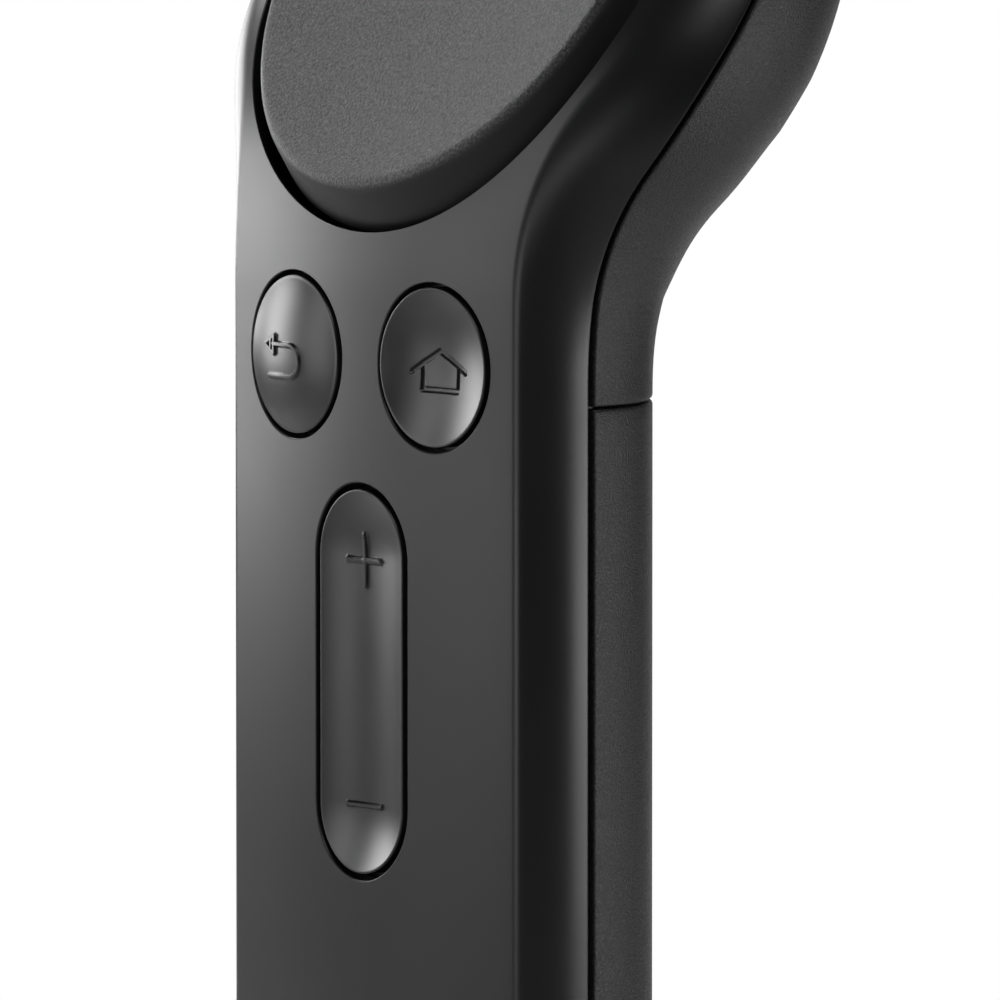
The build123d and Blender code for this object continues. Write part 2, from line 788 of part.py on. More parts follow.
home_button = round_button(1, -home_dish)
home_button.label = "home_button"
export_step(home_button, "parts/home_button.step")


def pill(width, length, front, back, mode=Mode.ADD):
    """Round-ended bar at the rocker, square to the handle's face, from one depth to another."""
    with BuildSketch(Plane.XZ.offset(-face_y_at(back))) as shape:
        with Locations((0, rocker_height)):
            SlotOverall(length, width, rotation=90)
    extrude(shape.sketch, amount=back - front, mode=mode)


# Volume rocker: a hollow-backed bar that rocks on its middle rib, with a foot over each switch
rocker_width = rocker_slot_width - 2 * rocker_gap
rocker_length = rocker_slot_length - 2 * rocker_gap
lip_width = rocker_slot_width + 2 * rocker_lip
lip_length = rocker_slot_length + 2 * rocker_lip
rocker_turn = math.sin(math.radians(rocker_tilt))
lip_front = front_wall + crown(lip_width / 2) + lip_length / 2 * rocker_turn + seat_gap
lip_back = lip_front + rocker_lip_thickness
foot_end = dome_top - rocker_key_spread * rocker_turn - seat_gap
rib_end = board_depth - seat_gap
groove_half = rocker_width / 2 - button_rim
groove_radius = (groove_half**2 + rocker_dish**2) / (2 * rocker_dish)

with BuildPart() as volume_rocker:
    pill(lip_width, lip_length, lip_front, lip_back)
    pill(rocker_width, rocker_length, 0, lip_front)
    hollow_width, hollow_length = rocker_width - 2 * rocker_skirt, rocker_length - 2 * rocker_skirt
    pill(hollow_width, hollow_length, rocker_roof + rocker_dish, lip_back, mode=Mode.SUBTRACT)
    for side in (-1, 1):
        rod(button_stem, 0, rocker_height + side * rocker_key_spread, rocker_roof, foot_end)
    slab(rocker_rib_width, rocker_rib, rib_end - rocker_roof, 0, rocker_height, rocker_roof)
    with Locations((0, face_y_at(rocker_dish - groove_radius), rocker_height)):
        Cylinder(groove_radius, lip_length, mode=Mode.SUBTRACT)
volume_rocker.part.label = "volume_rocker"
export_step(volume_rocker.part, "parts/volume_rocker.step")


def turned(points, arc=None):
    """Disc or ring about the head's axis: corners given as distance from it and depth behind the face."""
    plane = head_plane(0)
    side = Plane(origin=plane.origin, x_dir=plane.x_dir, z_dir=-plane.y_dir)
    corners = [(radius, -depth) for radius, depth in points]
    with BuildSketch(side) as profile:
        with BuildLine():
            if arc:
                ThreePointArc(corners[0], (arc[0], -arc[1]), corners[1])
                Polyline(*corners[1:], corners[0])
            else:
                Polyline(*corners, close=True)
        make_face()
    return revolve(profile.sketch, axis=Axis(plane.origin, plane.z_dir))


# Touch pad: dished top, sloping rim and a flange held behind the front shell's collar
dish_edge = pad_edge - pad_edge_round
dish_radius = (dish_edge**2 + pad_dish**2) / (2 * pad_dish)
dish_middle = pad_recess + pad_dish - dish_radius + math.sqrt(dish_radius**2 - dish_edge**2 / 4)
bevel = pad_edge + (pad_waist - pad_edge) * pad_edge_round / pad_flare
pad_back = pad_flange_front + pad_flange_thickness
hollow_edge = pad_waist - pad_skirt
roof_depth = pad_recess + pad_roof

with BuildPart() as touchpad:
    rim = [(dish_edge, pad_recess), (bevel, pad_recess + pad_edge_round), (pad_waist, pad_recess + pad_flare)]
    flange = [(pad_waist, pad_flange_front), (pad_flange, pad_flange_front), (pad_flange, pad_back)]
    hollow = [(hollow_edge, pad_back), (hollow_edge, roof_depth), (0, roof_depth)]
    add(turned([(0, pad_recess + pad_dish), *rim, *flange, *hollow], arc=(dish_edge / 2, dish_middle)))
touchpad.part.label = "touchpad"
export_step(touchpad.part, "parts/touchpad.step")

# Touch sensor board, fixed under the pad's top
sensor_edge = hollow_edge - rocker_gap
sensor_back = roof_depth + sensor_thickness

with BuildPart() as touch_sensor:
    with BuildSketch(head_plane(sensor_back)):
        Circle(sensor_edge)
    extrude(amount=sensor_thickness)
touch_sensor.part.label = "touch_sensor"
export_step(touch_sensor.part, "parts/touch_sensor.step")

# Pad board and its switch, which carries the pad
with BuildPart() as pad_board:
    flat_disc(pad_board_radius, frame_flat, frame_depth, pad_board_thickness)
pad_board.part.label = "pad_board"
export_step(pad_board.part, "parts/pad_board.step")

with BuildPart() as pad_switch:
    with BuildSketch(head_plane(pad_board_depth)):
        Rectangle(pad_switch_size, pad_switch_size)
    extrude(amount=pad_board_depth - sensor_back - pad_travel - seat_gap)
pad_switch.part.label = "pad_switch"
export_step(pad_switch.part, "parts/pad_switch.step")

# Ribbon from the pad board's front to the main board's back: a straight run, a bend, a straight run
lean = math.radians(head_lean)
flex_y, flex_z = head_spot(flex_overlap - frame_flat, pad_board_depth)
flex_end_y = face_y_at(board_back + flex_thickness)
flex_run = (flex_y - flex_end_y - flex_bend * (1 - math.cos(lean))) / math.sin(lean)
bend_y, bend_z = flex_y - flex_run * math.sin(lean), flex_z - flex_run * math.cos(lean)
hub_y, hub_z = bend_y + flex_bend * math.cos(lean), bend_z - flex_bend * math.sin(lean)
flex_end_z = board_top - flex_reach


def flex_side(radius, start):
    """One side of the ribbon: from its start, round the bend about the hub, down to its end."""
    turns = [math.pi - lean, math.pi - lean / 2, math.pi]
    bend = [(hub_y + radius * math.cos(turn), hub_z + radius * math.sin(turn)) for turn in turns]
    Line(start, bend[0])
    ThreePointArc(*bend)
    Line(bend[-1], (bend[-1][0], flex_end_z))
    return bend[-1][0], flex_end_z


with BuildPart() as board_flex:
    with BuildSketch(Plane.YZ):
        with BuildLine():
            front_start = head_spot(flex_overlap - frame_flat, pad_board_depth - flex_thickness)
            inner_end = flex_side(flex_bend, (flex_y, flex_z))
            outer_end = flex_side(flex_bend + flex_thickness, front_start)
            Line((flex_y, flex_z), front_start)
            Line(inner_end, outer_end)
        make_face()
    extrude(amount=flex_width / 2, both=True)
board_flex.part.label = "board_flex"
export_step(board_flex.part, "parts/board_flex.step")


def head_side(x):
    """Plane across the head at a width: its local x is the depth behind the face, its y the rise."""
    return Plane(origin=(x, *head_spot(0, 0)), x_dir=(0, math.cos(lean), -math.sin(lean)), z_dir=(1, 0, 0))


def back_post(radius, x, z, back):
    """Round post along y on the head frame, that ends at a given y."""
    length = back - head_spot(0, frame_depth)[0]
    with Locations(Location((x, back - length / 2, z), (90, 0, 0))):
        Cylinder(radius, length)


# Head frame: plate behind the pad board, with the trigger's two ears, spring post and switch stand
spring_z = pivot_z - spring_drop
spring_back = pivot_y - trigger_back
spring_front = spring_back - spring_length
switch_z = pivot_z - switch_drop
ear_inner = trigger_half_width + hook_gap
stand_back = spring_front

with BuildPart() as head_frame:
    flat_disc(frame_radius, frame_shoulder, frame_back, frame_thickness)
    flat_disc(pad_board_radius, frame_flat, frame_back, frame_thickness)
    back_post(spring_radius + seat_gap, 0, spring_z, spring_front)
    back_post(spring_post, 0, spring_z, spring_front + pin_radius)
    stand_front = head_spot(0, frame_depth)[0]
    with Locations((switch_offset, (stand_back + stand_front) / 2, switch_z)):
        Box(trigger_board_width - rocker_gap, stand_back - stand_front, trigger_board_height - rocker_gap)
    split(bisect_by=head_plane(frame_depth), keep=Keep.BOTTOM)
    for side in (-1, 1):
        with BuildSketch(head_side(side * (ear_inner + pin_ear / 2))) as ear:
            with Locations((pivot_depth, pivot_rise)):
                Circle(pin_ear_radius)
            root = frame_back - frame_thickness / 2
            with Locations(((pivot_depth + root) / 2, pivot_rise)):
                Rectangle(pivot_depth - root, 2 * pin_ear_radius)
            with Locations((pivot_depth, pivot_rise)):
                Circle(pin_radius + pin_play, mode=Mode.SUBTRACT)
        extrude(ear.sketch, amount=pin_ear / 2, both=True)
    with BuildSketch(head_plane(frame_back)):
        with Locations(*frame_screws_at):
            Circle(frame_screw_head + fit_gap)
    extrude(amount=frame_screw_sink, mode=Mode.SUBTRACT)
    with BuildSketch(head_plane(frame_back)):
        with Locations(*frame_screws_at):
            Circle(frame_screw_radius + fit_gap / 2)
    extrude(amount=frame_thickness, mode=Mode.SUBTRACT)
head_frame.part.label = "head_frame"
export_step(head_frame.part, "parts/head_frame.step")

# Frame screws, sunk in the head frame
with BuildPart() as frame_screws:
    with BuildSketch(head_plane(frame_back)):
        with Locations(*frame_screws_at):
            Circle(frame_screw_head)
    extrude(amount=frame_screw_sink)
    with BuildSketch(head_plane(frame_back - frame_screw_sink)):
        with Locations(*frame_screws_at):
            Circle(frame_screw_radius)
    extrude(amount=frame_screw_length)
frame_screws.part.label = "frame_screws"
export_step(frame_screws.part, "parts/frame_screws.step")

# Trigger: a hooked finger piece that turns on its pin, hollowed beside a middle rib
inner_angle = -90 - math.degrees(math.asin(trigger_back / trigger_sweep))
under_spot = swept(trigger_under_angle, trigger_sweep)
inner_spot = swept(inner_angle, trigger_sweep)
arc_middle = swept((trigger_under_angle + inner_angle) / 2, trigger_sweep)

with BuildPart() as trigger:
    with BuildSketch(Plane.YZ):
        with BuildLine():
            top = at_sweep(trigger_top_shares)
            shoulder = [at_sweep(share) for share in trigger_shoulder_shares]
            finger = [at_sweep(share) for share in trigger_finger_shares]
            tip = [at_sweep(share) for share in trigger_tip_shares]
            ThreePointArc(top, *shoulder)
            ThreePointArc(shoulder[1], *finger)
            ThreePointArc(finger[1], *tip)
            Polyline(tip[1], at_sweep(trigger_under_share), under_spot)
            ThreePointArc(under_spot, arc_middle, inner_spot)
            Polyline(inner_spot, (pivot_y - trigger_back, pivot_z), (pivot_y, pivot_z + trigger_boss), top)
        make_face()
        with Locations((pivot_y, pivot_z)):
            Circle(trigger_boss)
            Circle(pin_radius + pin_play, mode=Mode.SUBTRACT)
    extrude(amount=trigger_half_width, both=True)
    pocket_width = trigger_half_width - trigger_skin - trigger_rib
    for side in (-1, 1):
        with BuildSketch(Plane.YZ.offset(side * trigger_rib)) as pocket:
            with BuildLine():
                corners = [at_sweep(share) for share in pocket_back_shares + pocket_front_shares]
                Polyline(*corners, close=True)
            make_face()
        extrude(pocket.sketch, amount=side * pocket_width, mode=Mode.SUBTRACT)
trigger.part.label = "trigger"
export_step(trigger.part, "parts/trigger.step")

with BuildPart() as trigger_pin:
    with Locations(Location((0, pivot_y, pivot_z), (0, 90, 0))):
        Cylinder(pin_radius, 2 * (ear_inner + pin_ear))
trigger_pin.part.label = "trigger_pin"
export_step(trigger_pin.part, "parts/trigger_pin.step")

# Trigger spring, as the room that its coil takes up
with BuildPart() as trigger_spring:
    with Locations(Location((0, (spring_front + spring_back) / 2, spring_z), (90, 0, 0))):
        Cylinder(spring_radius, spring_length)
        Cylinder(spring_radius - spring_wire, spring_length, mode=Mode.SUBTRACT)
trigger_spring.part.label = "trigger_spring"
export_step(trigger_spring.part, "parts/trigger_spring.step")

# Trigger board and its switch
board_middle = stand_back + trigger_board_thickness / 2
switch_middle = stand_back + trigger_board_thickness + trigger_switch_height / 2

with BuildPart() as trigger_board:
    with Locations((switch_offset, board_middle, switch_z)):
        Box(trigger_board_width, trigger_board_thickness, trigger_board_height)
trigger_board.part.label = "trigger_board"
export_step(trigger_board.part, "parts/trigger_board.step")

with BuildPart() as trigger_switch:
    with Locations((switch_offset, switch_middle, switch_z)):
        Box(trigger_switch_size, trigger_switch_height, trigger_switch_size)
trigger_switch.part.label = "trigger_switch"
export_step(trigger_switch.part, "parts/trigger_switch.step")
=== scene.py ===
import json
import math

import bmesh
import bpy
import numpy as np
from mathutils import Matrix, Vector


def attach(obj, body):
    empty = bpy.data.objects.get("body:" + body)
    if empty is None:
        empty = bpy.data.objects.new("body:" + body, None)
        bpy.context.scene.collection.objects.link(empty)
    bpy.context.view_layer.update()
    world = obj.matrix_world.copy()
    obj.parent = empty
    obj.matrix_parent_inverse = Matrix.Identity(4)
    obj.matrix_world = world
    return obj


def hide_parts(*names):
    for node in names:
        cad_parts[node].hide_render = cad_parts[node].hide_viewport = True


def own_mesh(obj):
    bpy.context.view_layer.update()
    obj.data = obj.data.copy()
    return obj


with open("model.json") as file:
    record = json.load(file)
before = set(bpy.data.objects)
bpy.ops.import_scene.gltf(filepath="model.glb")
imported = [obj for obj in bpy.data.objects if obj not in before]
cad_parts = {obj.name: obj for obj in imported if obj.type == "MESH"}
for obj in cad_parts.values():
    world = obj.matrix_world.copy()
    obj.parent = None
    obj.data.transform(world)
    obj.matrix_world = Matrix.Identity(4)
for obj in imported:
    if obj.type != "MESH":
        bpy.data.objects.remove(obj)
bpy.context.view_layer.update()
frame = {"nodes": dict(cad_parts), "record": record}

bl_info = {
    "name": "Motion controller",
    "version": (1, 0, 0),
    "blender": (4, 5, 0),
    "location": "View3D > Sidebar > Controller",
    "description": "Dresses the packed motion controller: shells, pad, buttons, rocker, trigger and springs",
    "category": "Object",
}

# Sizes of the controller in millimetres, as in the part's source. +Z runs up the handle, -Y is
# the face. A section is drawn across the face's middle line: x is the width and depth is how far
# behind the face. A place along that line, from the base end, is its station.

# Outline and depth
BUTTON_HEIGHT = 64.8
BEND_STATION = BUTTON_HEIGHT + 3.9
BEND_RADIUS = 35.5
HEAD_LEAN = math.radians(31)
HEAD_STATION = BUTTON_HEIGHT + 26.7
HANDLE_DEPTH = 16.8
HEAD_DEPTH = 20.94
CROWN_RADIUS = 97.0
CREASE_HALF, CREASE_RADIUS = 14.19, 19.49
SEAM_HALF, SEAM_RADIUS = 16.09, 24.07
NECK_RADIUS = 27.0
SIDE_BULGE = 0.5
FACE_Y = -HANDLE_DEPTH / 2
NECK_FOOT = 62.75
NECK_SHARES = (1.0, 0.87, 0.72, 0.546, 0.372, 0.198, 0.0)
BACK_SHARES = (0.0, 0.067, 0.369, 0.578, 0.738, 0.835, 1.0)

# Walls, seam, lip and split line
END_ROUND, END_WALL = 3.0, 2.0
FRONT_WALL, REAR_WALL, COVER_WALL = 1.4, 1.2, 1.0
FRONT_LEVEL, REAR_LEVEL = 5.16, 5.53
LIP_OUT, LIP_IN, LIP_THINNING, LIP_REACH = 1.3, 1.9, 0.15, 1.2
LIP_START, LIP_RUN = 4.8, 0.4
INNER_CREASE, INNER_EDGE = 0.3, 0.1
SPLIT_LOW, SPLIT_HIGH = 62.56, 62.75
SPLIT_STEPS, SPLIT_EDGE_SHARES = np.array([0.0, 0.07, 0.2]), np.array([0.6, 0.2, 0.0])
ROWS_FROM = SPLIT_HIGH + 0.6
HEAD_ROWS = 48

# Thumb dish of the battery cover, the housing's ears, the cover's tongue and hooks. Blocks that
# overlap are set back a little from each other, so that no two corners meet.
THUMB_BALL, THUMB_SINK, THUMB_DROP, THUMB_BEHIND = 26.0, 0.35, 9.0, 12.0
SET_BACK = 0.03
EAR_IN, EAR_OUT, EAR_FAR = 10.2, 13.4, 15.3
EAR_FOOT, EAR_STEP, EAR_TOP = 57.71, 63.09, 65.75
EAR_FRONT, EAR_PLATE, EAR_SHELF = -4.15, 1.2, 1.5
TONGUE_HALF, TONGUE_Y, TONGUE_THICK, TONGUE_LAP = 2.2, 5.9, 1.0, 0.2
TONGUE_FOOT, TONGUE_ROOT, TONGUE_TOP = 60.88, 62.5, 64.28
HOOK_HEIGHTS, HOOK_LENGTH, HOOK_EDGE = (13.0, 50.6), 8.0, 0.1
HOOK_TIP, HOOK_IN, HOOK_OUT = 11.65, 13.1, 13.8
HOOK_FRONT, HOOK_BACK, HOOK_THICK = -2.4, 2.7, 0.8

# Pad and the collar round it, with depths behind the head's plane
PAD_OPENING, PAD_EDGE, PAD_WAIST, PAD_FLANGE, PAD_HOLLOW = 18.4, 16.71, 18.0, 19.0, 16.8
PAD_RECESS, PAD_DISH, PAD_ROUND, PAD_LEAN, PAD_SLOPE = 0.55, 1.0, 0.6, 0.06, 3.0
PAD_CEILING, PAD_FLANGE_TOP, PAD_FLANGE_FOOT = 3.25, 5.55, 6.15
PAD_PLUG_IN, PAD_PLUG_OUT, PAD_PLUG_TOP = 3.2, 0.4, 6.0
COLLAR_RADIUS, COLLAR_SLIP, COLLAR_CUT = 19.5, 0.01, 13.0
COLLAR_START, COLLAR_LEAST, COLLAR_END = 0.8, 0.3, 5.45

# Round buttons
BUTTON_SPREAD, BUTTON_HOLE, BUTTON_RADIUS, BUTTON_DOME = 6.95, 5.1, 4.82, 0.75
CAP_EASE, CAP_FALL, CAP_SIGN, SIGN_EASE_SHARE = 0.12, 0.15, 3.0, 0.55
CAP_FLANGE, CAP_HOLLOW, CAP_STEM = 5.35, 3.78, 1.1
CAP_SKIRT, CAP_FOOT, CAP_CEILING, CAP_STEM_FOOT = 1.6, 1.95, 0.95, 1.85

# Volume rocker with its pegs and rib
ROCKER_HEIGHT, SLOT_WIDTH, SLOT_LENGTH = 45.4, 9.2, 24.05
ROCKER_WIDTH, ROCKER_LENGTH, ROCKER_DISH = 8.37, 23.3, 0.65
ROCKER_FLANGE, ROCKER_HOLLOW = 4.935, 3.185
ROCKER_SKIRT, ROCKER_FOOT, ROCKER_CEILING = 1.9, 2.3, 1.15
PEG_SPREAD, PEG_RADIUS, PEG_TOP, PEG_FOOT = 8.0, 1.1, 1.0, 2.19
RIB_HALF, RIB_THICK, RIB_FOOT, RIB_EDGE = 2.5, 0.6, 2.75, 0.08

# Lamp hole, strap hole, trigger and its spring
LAMP_HEIGHT, LAMP_HOLE = 19.8, 0.8
STRAP_DEPTH, STRAP_HOLE = 3.6, 1.2
PIVOT_RISE, PIVOT_DEPTH = 15.5, 11.5
TRIGGER_HALF, TRIGGER_EDGE, TRIGGER_GAP, SWEEP, OPENING_SHARE = 6.3, 0.4, 0.35, 10.65, 0.279
PIN_HOLE, BOSS_RADIUS, LEVER_BACK = 1.05, 2.0, 1.16
COIL_FOOT, COIL_DROP, COIL_RADIUS, COIL_LENGTH, COIL_TURNS = 11.2, 6.6, 1.65, 4.0, 6

# Cells and the springs of their bay
BAY_FOOT, BAY_TOP = 7.5, 55.8
CELL_SPREAD, CELL_BEHIND = 5.3, 9.5
CELL_RADIUS, CELL_EDGE, CELL_BODY, CELL_LENGTH = 5.15, 0.4, 43.5, 44.5
CELL_GROOVE, CELL_SINK, CELL_TIP, CELL_EASE = 4.0, 0.2, 1.9, 0.1
SPRING_BASE, SPRING_TIP, SPRING_LENGTH, SPRING_TURNS, SPRING_WIRE = 2.75, 1.95, 3.8, 4, 0.24

# Meshes: points nearer than MERGE metres become one, and edges past an angle in degrees are sharp
MERGE = 2e-6
SHARP, SHARP_WHEN_CUT = 34, 20

# Camera and lamps, in metres; the sensor's width is in millimetres
TOWARD_CAMERA = (0.7956, -0.600, 0.0837)
BEHIND = tuple(-part for part in TOWARD_CAMERA)
CAMERA_TARGET, CAMERA_DISTANCE, VIEW_WIDTH = (0.0, 0.0022, 0.05587), 0.9, 0.06068
SENSOR_WIDTH = 36.0
LAMP_AIM, LAMP_CIRCLE = (0.0, 0.0, 0.075), 0.22
# Each lamp: name, azimuth in degrees, height above the floor, width, height, power in watts
LAMPS = (
    ("high_lamp", -89, 0.19, 0.06, 0.05, 0.16),
    ("left_lamp", -68, 0.08, 0.075, 0.08, 0.17),
    ("edge_lamp", -98, 0.08, 0.09, 0.05, 0.07),
    ("front_lamp", -35, 0.11, 0.06, 0.18, 0.13),
    ("low_lamp", 5, 0.05, 0.06, 0.07, 0.07),
    ("rear_lamp", 123, 0.045, 0.15, 0.06, 0.26),
    ("floor_lamp", 50, 0.36, 0.12, 0.12, 0.45),
)

# Floor: its rings and drop in millimetres. Where it is seen, its share of plain white grows from
# the first value to the second between two distances in metres; where it is mirrored, the share
# grows from none to all between two distances behind the controller.
FLOOR_RINGS, FLOOR_DROP = (0, 40, 80, 160, 300), 0.05
SEEN_SHARES, SEEN_RANGE, MIRRORED_RANGE = (0.75, 1.0), (0.08, 0.2), (0.14, 0.24)

# World: its dim strength, and how squarely behind the controller a mirrored direction turns white
DIM_STRENGTH, WHITE_RANGE = 0.015, (0.9, 0.97)


def to_head(y, z):
    """Rise and depth in the head of points given by y and z."""
    y0, z0 = face_point(np.float64(HEAD_STATION))
    c, s = math.cos(HEAD_LEAN), math.sin(HEAD_LEAN)
    return (y - y0) * s + (z - z0) * c, (y - y0) * c - (z - z0) * s


def lean_at(station):
    """Lean of the face at a station, in radians: none, then growing along the bend, then steady."""
    return np.clip((station - BEND_STATION) / BEND_RADIUS, 0, HEAD_LEAN)


def face_point(station):
    """y and z of the face's middle line: a straight, an arc of the bend radius, a straight."""
    lean = lean_at(station)
    run = np.maximum(station - BEND_STATION - BEND_RADIUS * lean, 0)
    y = FACE_Y + BEND_RADIUS * (1 - np.cos(lean)) + run * np.sin(lean)
    z = np.minimum(station, BEND_STATION) + BEND_RADIUS * np.sin(lean) + run * np.cos(lean)
    return y, z


def section_point(x, station, depth):
    """Point of a section: the face point, moved back by the depth square to the leaning face."""
    lean = lean_at(station)
    y, z = face_point(station)
    x, y, z = np.broadcast_arrays(x, y + depth * np.cos(lean), z - depth * np.sin(lean))
    return np.stack([x, y, z], -1)


def head_point(x, rise, depth):
    """Point in the head, from its centre: x across, rise up the leaning face, depth behind it."""
    y0, z0 = face_point(np.float64(HEAD_STATION))
    c, s = math.cos(HEAD_LEAN), math.sin(HEAD_LEAN)
    x, y, z = np.broadcast_arrays(x, y0 + rise * s + depth * c, z0 + rise * c - depth * s)
    return np.stack([x, y, z], -1)


def crown(x):
    """Fall of the face from its middle line: a circle of the crown radius."""
    return CROWN_RADIUS - np.sqrt(CROWN_RADIUS**2 - x**2)


def outline(station, head, handle, inset=0.0):
    """Half width at a station: the head's circle, a hollow arc tangent to both, the handle's line."""
    head, handle, hollow = head - inset, handle - inset, NECK_RADIUS + inset
    below = HEAD_STATION - station
    reach = np.sqrt((head + hollow) ** 2 - (handle + hollow) ** 2)
    circle = np.sqrt(np.maximum(head**2 - below**2, 0))
    neck = handle + hollow - np.sqrt(np.maximum(hollow**2 - (reach - below) ** 2, 0))
    return np.where(below <= reach * head / (head + hollow), circle, np.where(below >= reach, handle, neck))


def back_depth(station):
    """Depth of the back: a cubic through the listed depths, whose slopes are those of neighbours."""
    knots = HEAD_STATION - (HEAD_STATION - NECK_FOOT) * np.array(NECK_SHARES)
    values = HANDLE_DEPTH + (HEAD_DEPTH - HANDLE_DEPTH) * np.array(BACK_SHARES)
    slopes = np.gradient(values, knots)
    slopes[0] = 0
    place = np.clip(np.searchsorted(knots, station) - 1, 0, len(knots) - 2)
    gap = knots[place + 1] - knots[place]
    t = np.clip((station - knots[place]) / gap, 0, 1)
    a, b = values[place], values[place + 1]
    curve = a * (1 + 2 * t) * (1 - t) ** 2 + b * t * t * (3 - 2 * t)
    return curve + gap * t * (1 - t) * (slopes[place] * (1 - t) - slopes[place + 1] * t)


def bend(a, b, c, t):
    """Corner at b eased from a to c: (1-t)^2 a + 2 t (1-t) b + t^2 c, for x and depth alike."""
    return (1 - t) ** 2 * a + 2 * t * (1 - t) * b + t**2 * c


def front_profile(station, inset, seam_inset, crease_round, seam_round, lip_inset, lip_reach):
    """Half section of the front shell, one row a station: crowned face, eased crease, side that
    swells by a parabola, eased seam edge and lip. Gives x and depth from the middle outwards."""
    station = np.asarray(station, float)[:, None]
    inset, seam_inset = np.reshape(inset, (-1, 1)), np.reshape(seam_inset, (-1, 1))
    xe = outline(station, CREASE_RADIUS, CREASE_HALF, inset)
    de = inset + crown(xe)
    xs = outline(station, SEAM_RADIUS, SEAM_HALF, seam_inset)
    ds = FRONT_LEVEL
    run, fall = xs - xe, ds - de
    slope = np.hypot(run, fall)

    def side(t):
        swell = 4 * SIDE_BULGE * t * (1 - t)
        return xe + run * t + swell * fall / slope, de + fall * t - swell * run / slope

    s = np.linspace(0, 1, 30)[None, :-1]
    face_x = (xe - crease_round) * s
    face_d = inset + crown(face_x)
    first, last = crease_round / slope, 1 - seam_round / slope
    ax, ad = xe - crease_round, inset + crown(xe - crease_round)
    bx, bd = side(first)
    t = np.linspace(0, 1, 9)[None, :]
    crease_x, crease_d = bend(ax, xe, bx, t), bend(ad, de, bd, t)
    t = first + (last - first) * np.linspace(0, 1, 18)[None, 1:-1]
    side_x, side_d = side(t)
    cx, cd = side(last)
    t = np.linspace(0, 1, 6)[None, :]
    edge_x, edge_d = bend(cx, xs, xs - seam_round, t), bend(cd, ds, ds, t)
    reach = np.reshape(lip_reach, (-1, 1)) * np.ones_like(xs)
    lip_x = np.where(reach > 0, outline(station, SEAM_RADIUS, SEAM_HALF, lip_inset), xs - seam_round)
    x = np.hstack([face_x, crease_x, side_x, edge_x, lip_x, lip_x])
    depth = np.hstack([face_d, crease_d, side_d, edge_d, ds + 0 * xs, ds + reach])
    return x, depth


def rear_profile(station, wall, inset, seam_round):
    """Half section of a rear shell, one row a station: x = half width times cos, depth = level
    plus reach times sin of an angle that runs from the back's middle to the seam's eased edge."""
    station = np.asarray(station, float)[:, None]
    inset = np.reshape(inset, (-1, 1))
    half = outline(station, SEAM_RADIUS, SEAM_HALF) - wall - inset
    reach = back_depth(station) - REAR_LEVEL - wall - inset
    edge = seam_round / half
    turn = math.pi / 2 - (math.pi / 2 - edge) * np.linspace(0, 1, 60)[None, :] ** 0.9
    x, depth = half * np.cos(turn), REAR_LEVEL + reach * np.sin(turn)
    t = np.linspace(0, 1, 6)[None, 1:]
    end_x, end_d = x[:, -1:], depth[:, -1:]
    level = REAR_LEVEL + 0 * end_d
    x = np.hstack([x, bend(end_x, half, half - seam_round, t)])
    return x, np.hstack([depth, bend(end_d, level, level, t)])


def base_row(x, depth, station, level):
    """Row across the base end: the first row's points moved to the level line, and none of them
    further out than that row's last point."""
    return section_point(np.minimum(x[:1], x[0, -1]), station[0], np.full_like(depth[:1], level))


def swept_head(x, depth):
    """The last half section turned about the head's axis from its side to its top."""
    turn = np.linspace(0, math.pi / 2, HEAD_ROWS)[1:, None]
    return head_point(x * np.cos(turn), x * np.sin(turn), depth + 0 * turn)


def grid_faces(rows, cols, start=0, wrap=False):
    """Quads of a grid of points that are numbered row by row."""
    i = np.arange(rows - 1)[:, None]
    j = np.arange(cols if wrap else cols - 1)[None, :]
    a, b = start + i * cols + j, start + i * cols + (j + 1) % cols
    return np.stack([a, b, b + cols, a + cols], -1).reshape(-1, 4)


def wall_mesh(outer, inner):
    """Closed wall from two sheets of points of one shape: half of each is mirrored in x, and rims
    join their first rows and last columns. The middle column and the last row lie on x = 0."""
    rows, cols = outer.shape[:2]
    count = rows * cols
    quads = grid_faces(rows, cols)
    foot, edge = np.arange(cols), np.arange(rows) * cols + cols - 1
    rims = [np.stack([k[:-1], k[1:], k[1:] + count, k[:-1] + count], -1) for k in (foot, edge)]
    half = np.vstack([quads, quads[:, ::-1] + count, *rims])
    points = np.vstack([outer.reshape(-1, 3), inner.reshape(-1, 3)])
    mirrored = points * (-1, 1, 1)
    return np.vstack([points, mirrored]), np.vstack([half, half[:, ::-1] + len(points)])


def lathe(radius, height, count):
    """Profile turned about the z axis: x = r cos, y = r sin; both of its ends lie on the axis."""
    turn = np.linspace(0, 2 * math.pi, count, endpoint=False)[None, :]
    radius, height = np.reshape(radius, (-1, 1)), np.reshape(height, (-1, 1))
    points = np.stack([radius * np.cos(turn), radius * np.sin(turn), height + 0 * turn], -1)
    return points, grid_faces(len(radius), count, wrap=True)


def block(low, high, edge=0.15):
    """Box with eased edges: each corner point moved out by the edge radius along every direction
    of its own eighth of a sphere."""
    low, high = np.array(low, float) + edge, np.array(high, float) - edge
    ease = np.linspace(0, math.pi / 2, 4)
    around = np.concatenate([ease + k * math.pi / 2 for k in range(4)])[None, :]
    xs = np.repeat([high[0], low[0], low[0], high[0]], 4)[None, :]
    ys = np.repeat([high[1], high[1], low[1], low[1]], 4)[None, :]
    up = np.concatenate([ease - math.pi / 2, ease])[:, None]
    zs = np.repeat([low[2], high[2]], 4)[:, None]
    x = xs + edge * np.cos(up) * np.cos(around)
    y = ys + edge * np.cos(up) * np.sin(around)
    z = zs + edge * np.sin(up) + 0 * around
    return capped(np.stack([x, y, z], -1))


